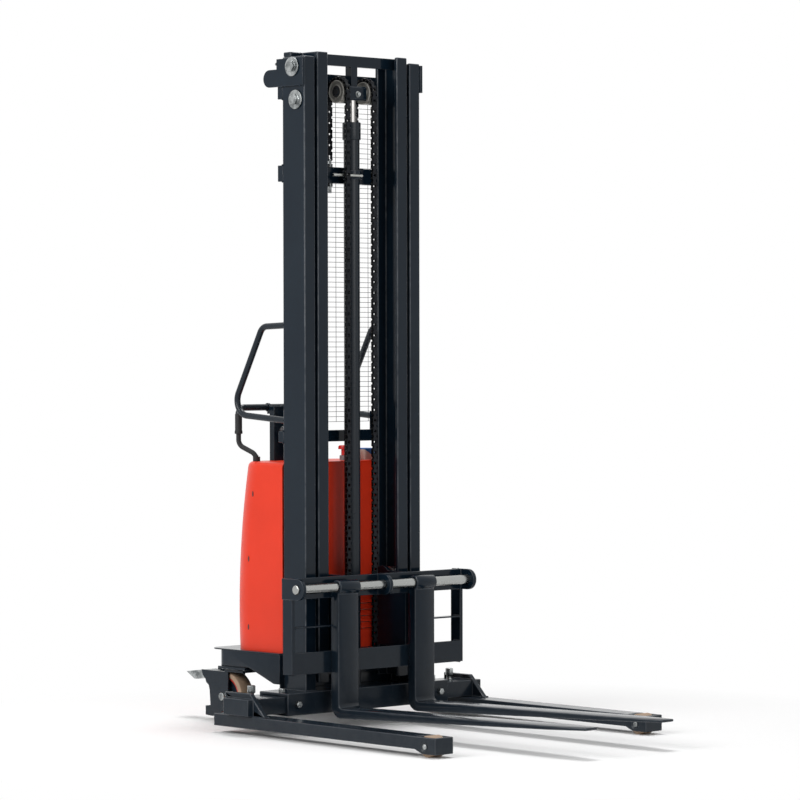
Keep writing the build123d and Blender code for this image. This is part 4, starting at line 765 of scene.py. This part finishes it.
# Sleeve beam and straddle legs: a welded rectangular tube takes the crossbars of both legs, with plated clamp
# bolts. Each leg is a folded beam with an upright gusset welded on its top.
LEG_OUTER = 0.456
LEG_TOP = 0.057
GUSSET_INSET = 0.014
GUSSET_HALF = 0.008
GUSSET_TOE = 0.067
GUSSET_REAR = 0.110
CROSSBAR_FRONT = 0.0165
CROSSBAR_REAR = 0.0945
CROSSBAR_TOP = 0.1075
SEAM_LIFT = 0.003
STOP_BOLT_INSET = 0.056
STOP_BOLT_Y = 0.050
STOP_BOLT_HALF = 0.016
STOP_BOLT_LIFT = 0.001
STOP_BOLT_TOP = 0.2
edged("leg_sleeve", dark_coat, width=0.0025)
edged("leg_clamp_bolts", zinc_plate, width=0.0007)
for name, side in (("left", 1), ("right", -1)):
    leg = "leg_" + name
    bolt_x = side * (LEG_OUTER - STOP_BOLT_INSET)
    bolt_y = mast_low.y + STOP_BOLT_Y
    bolt_low = (bolt_x - STOP_BOLT_HALF, bolt_y - STOP_BOLT_HALF, CROSSBAR_TOP + STOP_BOLT_LIFT)
    bolt_high = (bolt_x + STOP_BOLT_HALF, bolt_y + STOP_BOLT_HALF, STOP_BOLT_TOP)
    edged(leg, dark_coat, width=0.0022, patches=[(bolt_low, bolt_high, zinc_plate)])
    middle = side * (LEG_OUTER - GUSSET_INSET)
    inner = middle - side * GUSSET_HALF
    toe = mast_low.y - GUSSET_TOE
    heel = mast_low.y + GUSSET_REAR
    front = mast_low.y - CROSSBAR_FRONT
    rear = mast_low.y + CROSSBAR_REAR
    runs = [((x, toe, LEG_TOP), (x, heel, LEG_TOP)) for x in (middle - GUSSET_HALF, middle + GUSSET_HALF)]
    runs.append(((inner, front, CROSSBAR_TOP), (inner, rear, CROSSBAR_TOP)))
    runs.append(((inner, front, LEG_TOP + SEAM_LIFT), (inner, front, CROSSBAR_TOP)))
    weld_beads(leg + "_seams", runs, leg)

# Load wheels: tan polyurethane treads cast on red hubs with a bearing seat in each face. They turn on plated
# pins through the legs' noses. Outline points are depths below the face, with a radius or a drop from the
# rim.
LOAD_HUB = ((0.004, 0.0083), (0.002, 0.0083), (0.002, 0.014), (0.005, 0.0145), (0.005, 0.0195),
            (0.001, 0.020))
LOAD_TREAD_FOOT = ((0.001, 0.020), (0.0, 0.021))
LOAD_TREAD_DROPS = ((0.0, 0.0035), (0.0035, 0.0))
tan_tread = surface(
    "tan_tread", moulding, bump=(0.2, 0.0005), settings={"Specular IOR Level": 0.35},
    Colour=(0.36, 0.25, 0.17, 1), Second_colour=(0.24, 0.165, 0.115, 1), Dullness=0.5, Grain=380.0)
red_hub = surface(
    "red_hub", powder_coat, bump=(0.2, 0.0005), settings={"Specular IOR Level": 0.3},
    Colour=(0.45, 0.026, 0.016, 1), Second_colour=(0.36, 0.022, 0.015, 1),
    Rubbed_colour=(0.3, 0.06, 0.05, 1), Dullness=0.4, Wear=0.4)


def below_face(half, points):
    return [(half - depth, radius) for depth, radius in points]


def tread_outline(half, rim, foot, drops):
    return below_face(half, foot) + [(half - depth, rim - drop) for depth, drop in drops]


def wheel(node, rings, centre, steps):
    for title, outline, finish in rings:
        shape = bmesh.new()
        turned(shape, both_faces(outline), centre, steps)
        closed_smooth(shape)
        wheel_piece = finished(node + "_" + title, shape, finish, node)
        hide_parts(node)


for name in ("left", "right"):
    low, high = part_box("load_wheel_" + name)
    rim = (high.z - low.z) / 2
    half = (high.x - low.x) / 2
    tread = tread_outline(half, rim, LOAD_TREAD_FOOT, LOAD_TREAD_DROPS)
    rings = (("tread", tread, tan_tread), ("hub", below_face(half, LOAD_HUB), red_hub))
    wheel("load_wheel_" + name, rings, (low + high) / 2, steps=40)
    edged("load_axle_" + name, zinc_plate, width=0.0008)

# Chassis tray and deck: bent steel plate welded behind the mast, dark like the mast. The flat deck on it
# carries the cover and the power unit.
edged("chassis_frame", dark_coat, width=0.0015)
edged("deck_plate", dark_coat, width=0.0014)

# Swivel casters: pressed top plates bolted under the chassis, dark yokes with plated axle bolts, wide wheels
# with a dark hub and a tan tread on a red rim, and a plated foot pedal behind each.
SWIVEL_INSET = 0.045
PLATE_BOLT_X = 0.034
PLATE_BOLT_Y = 0.050
YOKE_FACE = 0.0355
AXLE_NUT_HALF = 0.020
AXLE_NUT_REACH = 0.02
CASTER_HUB = ((0.006, 0.0083), (0.0008, 0.0083), (0.0008, 0.0165), (0.0025, 0.019), (0.0085, 0.0205),
              (0.0085, 0.050))
CASTER_RIM = ((0.0085, 0.050), (0.003, 0.0535), (0.003, 0.058))
CASTER_TREAD_FOOT = ((0.003, 0.058), (0.0005, 0.060), (0.0, 0.062))
CASTER_TREAD_DROPS = ((0.0, 0.006), (0.002, 0.002), (0.006, 0.0))
edged("caster_plates", dark_coat, width=0.001)
plate_low, plate_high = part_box("caster_plates")
swivel_x = plate_high.x - SWIVEL_INSET
swivel_y = (plate_low.y + plate_high.y) / 2
corner_bolts = []
for side in (-1, 1):
    for dx in (-PLATE_BOLT_X, PLATE_BOLT_X):
        for dy in (-PLATE_BOLT_Y, PLATE_BOLT_Y):
            corner_bolts.append((side * swivel_x + dx, swivel_y + dy, plate_low.z))
hexagon_bolts("caster_plate_bolts", corner_bolts, radius=0.0052, height=0.0012, axis=(0, 0, -1),
              body="chassis")
for name in ("left", "right"):
    low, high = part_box("caster_wheel_" + name)
    axle = (low + high) / 2
    patches = []
    for end in (-1, 1):
        face = axle.x + end * YOKE_FACE
        near, far = sorted((face, face + end * AXLE_NUT_REACH))
        nut_low = (near, axle.y - AXLE_NUT_HALF, axle.z - AXLE_NUT_HALF)
        nut_high = (far, axle.y + AXLE_NUT_HALF, axle.z + AXLE_NUT_HALF)
        patches.append((nut_low, nut_high, zinc_plate))
    edged("caster_yoke_" + name, dark_coat, width=0.0008, patches=patches)
    edged("brake_pedal_" + name, zinc_plate, width=0.0015)
    rim = (high.z - low.z) / 2
    half = (high.x - low.x) / 2
    tread = tread_outline(half, rim, CASTER_TREAD_FOOT, CASTER_TREAD_DROPS)
    rings = (("tread", tread, tan_tread), ("rim", below_face(half, CASTER_RIM), red_hub),
             ("hub", below_face(half, CASTER_HUB), dark_coat))
    wheel("caster_wheel_" + name, rings, axle, steps=56)

# Fork carriage: a welded frame of rails and plates on four rollers, with a bright shaft through its end
# plates. The forks hang on the shaft by their eyes and lean on the lower plate.
SIDE_PLATE_FACE = 0.333
END_PLATE_FACE = 0.337
ROLLER_PLATE_FACE = 0.130
EYE_PLATE_FACES = (-0.006, 0.006)
LOWER_PLATE_EDGES = (0.174, 0.238)
THIN_BAR_EDGES = (0.309, 0.3135)
BAR_SEAM_FRONT = 0.066
BAR_SEAM_REAR = 0.042
RAIL_FRONT = 0.068
RAIL_REAR = 0.056
RAIL_SEAM_FOOT = 0.395
RAIL_SEAM_TOP = 0.455
CARRIAGE_WELD = 0.0028
shaft_steel = surface(
    "shaft_steel", plating, bump=(0.004, 0.0001), settings=metal,
    Colour=(0.37, 0.38, 0.37, 1), Second_colour=(0.33, 0.335, 0.32, 1), Dullness=0.2, Grain=1100.0, Stain=0.2)
edged("carriage_frame", dark_coat, width=0.0014)
dressed("fork_shaft", shaft_steel)
for name in ("left", "right"):
    edged("fork_" + name, dark_coat, width=0.0028)
bar_front = mast_low.y - BAR_SEAM_FRONT
bar_rear = mast_low.y - BAR_SEAM_REAR
rail_front = mast_low.y - RAIL_FRONT
rail_rear = mast_low.y - RAIL_REAR
seams = []
for side in (-1, 1):
    x = side * SIDE_PLATE_FACE
    for z in LOWER_PLATE_EDGES + THIN_BAR_EDGES:
        seams.append(((x, bar_front, z), (x, bar_rear, z)))
    for x in (side * END_PLATE_FACE, side * ROLLER_PLATE_FACE):
        seams.append(((x, rail_rear, RAIL_SEAM_FOOT), (x, rail_rear, RAIL_SEAM_TOP)))
for x in EYE_PLATE_FACES:
    seams.append(((x, rail_front, RAIL_SEAM_FOOT), (x, rail_front, RAIL_SEAM_TOP)))
weld_beads("carriage_seams", seams, "carriage", CARRIAGE_WELD)

# Cover: one pressed hood in bright red powder coat over the power unit, closed in front by a flat panel with
# pressed louvres. Small dark oval fasteners hold its sides.
LOUVRE_X = 0.127
LOUVRE_LENGTH = 0.120
LOUVRE_HEIGHT = 0.011
LOUVRE_THICK = 0.0015
LOUVRE_TILT = math.radians(-28)
LOUVRE_ROUND = 0.0005
LOUVRE_AHEAD = 0.0012
LOUVRE_FOOT = 0.277
LOUVRE_RISE = 0.0075
LOUVRE_PITCH = 0.019
LOUVRE_COUNT = 5
FASTENERS = ((0.134, 0.691), (0.154, 0.496), (0.156, 0.291))
FASTENER_RADIUS = 0.0085
FASTENER_NARROW = 0.32
FASTENER_DEPTH = 0.0092
FASTENER_INSET = 0.004
red_coat = surface(
    "red_coat", powder_coat, bump=(0.2, 0.0006), settings={"Specular IOR Level": 0.25},
    Colour=(0.71, 0.037, 0.011, 1), Second_colour=(0.66, 0.034, 0.010, 1),
    Rubbed_colour=(0.6, 0.08, 0.05, 1), Dullness=0.36, Wear=0.25)
black_plastic = surface(
    "black_plastic", moulding, bump=(0.2, 0.0004), settings={"Specular IOR Level": 0.4},
    Colour=(0.014, 0.014, 0.015, 1), Second_colour=(0.032, 0.032, 0.034, 1), Dullness=0.45, Grain=500.0)
dressed("cover_shell", red_coat)
dressed("cover_front_panel", red_coat)
lip_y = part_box("cover_front_panel")[0].y - LOUVRE_AHEAD
lip_size = Matrix.Diagonal((LOUVRE_LENGTH, LOUVRE_THICK, LOUVRE_HEIGHT, 1))
shape = bmesh.new()
for row in range(LOUVRE_COUNT):
    z = LOUVRE_FOOT + row * LOUVRE_PITCH
    for side in (-1, 1):
        lip = Matrix.Translation((side * LOUVRE_X, lip_y, z + LOUVRE_RISE))
        lip = lip @ Matrix.Rotation(LOUVRE_TILT, 4, "X")
        bmesh.ops.create_cube(shape, size=1, matrix=lip @ lip_size)
bmesh.ops.bevel(shape, geom=shape.edges[:], offset=LOUVRE_ROUND, offset_type="OFFSET", affect="EDGES",
                segments=2, profile=0.5, material=-1)
closed_smooth(shape)
finished("cover_louvres", shape, red_coat, "chassis")
cover_low, cover_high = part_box("cover_shell")
oval = Matrix.Rotation(math.pi / 2, 4, "Y") @ Matrix.Diagonal((1.0, FASTENER_NARROW, 1.0, 1.0))
shape = bmesh.new()
for side in (-1, 1):
    for y, z in FASTENERS:
        place = Matrix.Translation((side * (cover_high.x - FASTENER_INSET), cover_low.y + y, z))
        bmesh.ops.create_cone(shape, cap_ends=True, segments=24, radius1=FASTENER_RADIUS,
                              radius2=FASTENER_RADIUS, depth=FASTENER_DEPTH, matrix=place @ oval)
closed_smooth(shape)
finished("cover_fasteners", shape, black_plastic, "chassis")

# Handrails and control column: bent tube welded to the mast's rear face on both sides, and a folded steel
# column on the cover that carries the push handle, with a flared rubber grip and a cable below it. Grip
# points are distances from its foot or its top, with an inset from the flare's radius.
GRIP_FLARE = ((0.0, 0.0015), (0.0015, 0.0), (0.007, 0.0), (0.012, 0.0012))
GRIP_TOP = ((0.004, 0.0012), (0.001, 0.0022), (0.0, 0.0040))
black_rubber = surface(
    "black_rubber", moulding, bump=(0.35, 0.0005), settings={"Specular IOR Level": 0.3},
    Colour=(0.012, 0.012, 0.013, 1), Second_colour=(0.028, 0.028, 0.03, 1), Dullness=0.62, Grain=420.0)
for node in ("handrail_left", "handrail_right", "handle_bar"):
    dressed(node, tube_coat)
edged("control_column", dark_coat, width=0.001)
low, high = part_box("handle_grip")
radius = (high.y - low.y) / 2
tall = high.z - low.z
grip_outline = [(0.0, 0.0)] + [(rise, radius - inset) for rise, inset in GRIP_FLARE]
grip_outline += [(tall - drop, radius - inset) for drop, inset in GRIP_TOP] + [(tall, 0.0)]
shape = bmesh.new()
turned(shape, grip_outline, (0, 0, 0), steps=32, ring=False)
stand = Matrix.Translation(((low.x + high.x) / 2, (low.y + high.y) / 2, low.z))
stand = stand @ Matrix.Rotation(-math.pi / 2, 4, "Y")
bmesh.ops.transform(shape, matrix=stand, verts=shape.verts)
closed_smooth(shape)
grip = finished("handle_grip_sleeve", shape, black_rubber, "chassis")
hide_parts("handle_grip")
dressed("control_cable", black_rubber)

# Controls: a red mushroom stop on a grey collar and a beige instrument pod with a blue wedge of a lid stand
# on the cover; the column has a key switch and a lift rocker.
LID_FOOT = 0.026
LID_TOP = 0.0025
LID_LAP = 0.0006
LID_THIN_EDGE = 0.001
LID_ROUND = 0.0015
red_plastic = surface(
    "red_plastic", moulding, bump=(0.06, 0.0003), settings={"Specular IOR Level": 0.45},
    Colour=(0.6, 0.02, 0.016, 1), Second_colour=(0.48, 0.015, 0.014, 1), Dullness=0.25, Grain=700.0)
grey_plastic = surface(
    "grey_plastic", moulding, bump=(0.15, 0.0004), settings={"Specular IOR Level": 0.4},
    Colour=(0.2, 0.2, 0.205, 1), Second_colour=(0.13, 0.13, 0.135, 1), Dullness=0.45, Grain=500.0)
beige_plastic = surface(
    "beige_plastic", moulding, bump=(0.12, 0.0004), settings={"Specular IOR Level": 0.4},
    Colour=(0.58, 0.54, 0.47, 1), Second_colour=(0.5, 0.46, 0.4, 1), Dullness=0.4, Grain=520.0)
blue_plastic = surface(
    "blue_plastic", moulding, bump=(0.08, 0.0003), settings={"Specular IOR Level": 0.4},
    Colour=(0.022, 0.16, 0.5, 1), Second_colour=(0.016, 0.12, 0.4, 1), Dullness=0.32, Grain=600.0)
dressed("estop_button", red_plastic)
dressed("estop_base", grey_plastic)
dressed("control_pod", beige_plastic)
pod_low, pod_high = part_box("control_pod")
pod_middle = (pod_low + pod_high) / 2
lid_tall = LID_FOOT + LID_TOP
lid_size = (pod_high.x - pod_low.x + 2 * LID_LAP, pod_high.y - pod_low.y + 2 * LID_LAP, lid_tall, 1)
lid_place = Matrix.Translation((pod_middle.x, pod_middle.y, pod_high.z + LID_TOP - lid_tall / 2))
shape = bmesh.new()
lid = bmesh.ops.create_cube(shape, size=1, matrix=lid_place @ Matrix.Diagonal(lid_size))
for vert in lid["verts"]:
    if vert.co.z < pod_high.z and vert.co.x < pod_middle.x:
        vert.co.z = pod_high.z - LID_THIN_EDGE
bmesh.ops.bevel(shape, geom=shape.edges[:], offset=LID_ROUND, offset_type="OFFSET", affect="EDGES",
                segments=3, profile=0.5, material=-1)
closed_smooth(shape)
finished("pod_lid", shape, blue_plastic, "chassis")
edged("key", turned_steel, width=0.0005)
edged("lift_rocker", black_plastic, width=0.001)

# Power unit under the cover: battery, charger, pump motor on its valve block, white plastic oil tank and the
# hose to the lift cylinder, all standing on the deck.
white_tank = surface(
    "white_tank", moulding, bump=(0.1, 0.0004), settings={"Specular IOR Level": 0.45},
    Colour=(0.7, 0.7, 0.64, 1), Second_colour=(0.6, 0.6, 0.54, 1), Dullness=0.42, Grain=420.0)
cast_aluminium = surface(
    "cast_aluminium", plating, bump=(0.2, 0.0004), settings=metal,
    Colour=(0.62, 0.62, 0.64, 1), Second_colour=(0.5, 0.5, 0.52, 1), Dullness=0.4, Grain=600.0, Stain=0.5)
edged("battery", black_plastic, width=0.0015)
edged("charger", grey_plastic, width=0.002)
edged("valve_block", cast_aluminium, width=0.001)
edged("pump_motor", tube_coat, width=0.001)
edged("hydraulic_tank", white_tank, width=0.002)
dressed("hydraulic_hose", black_rubber)
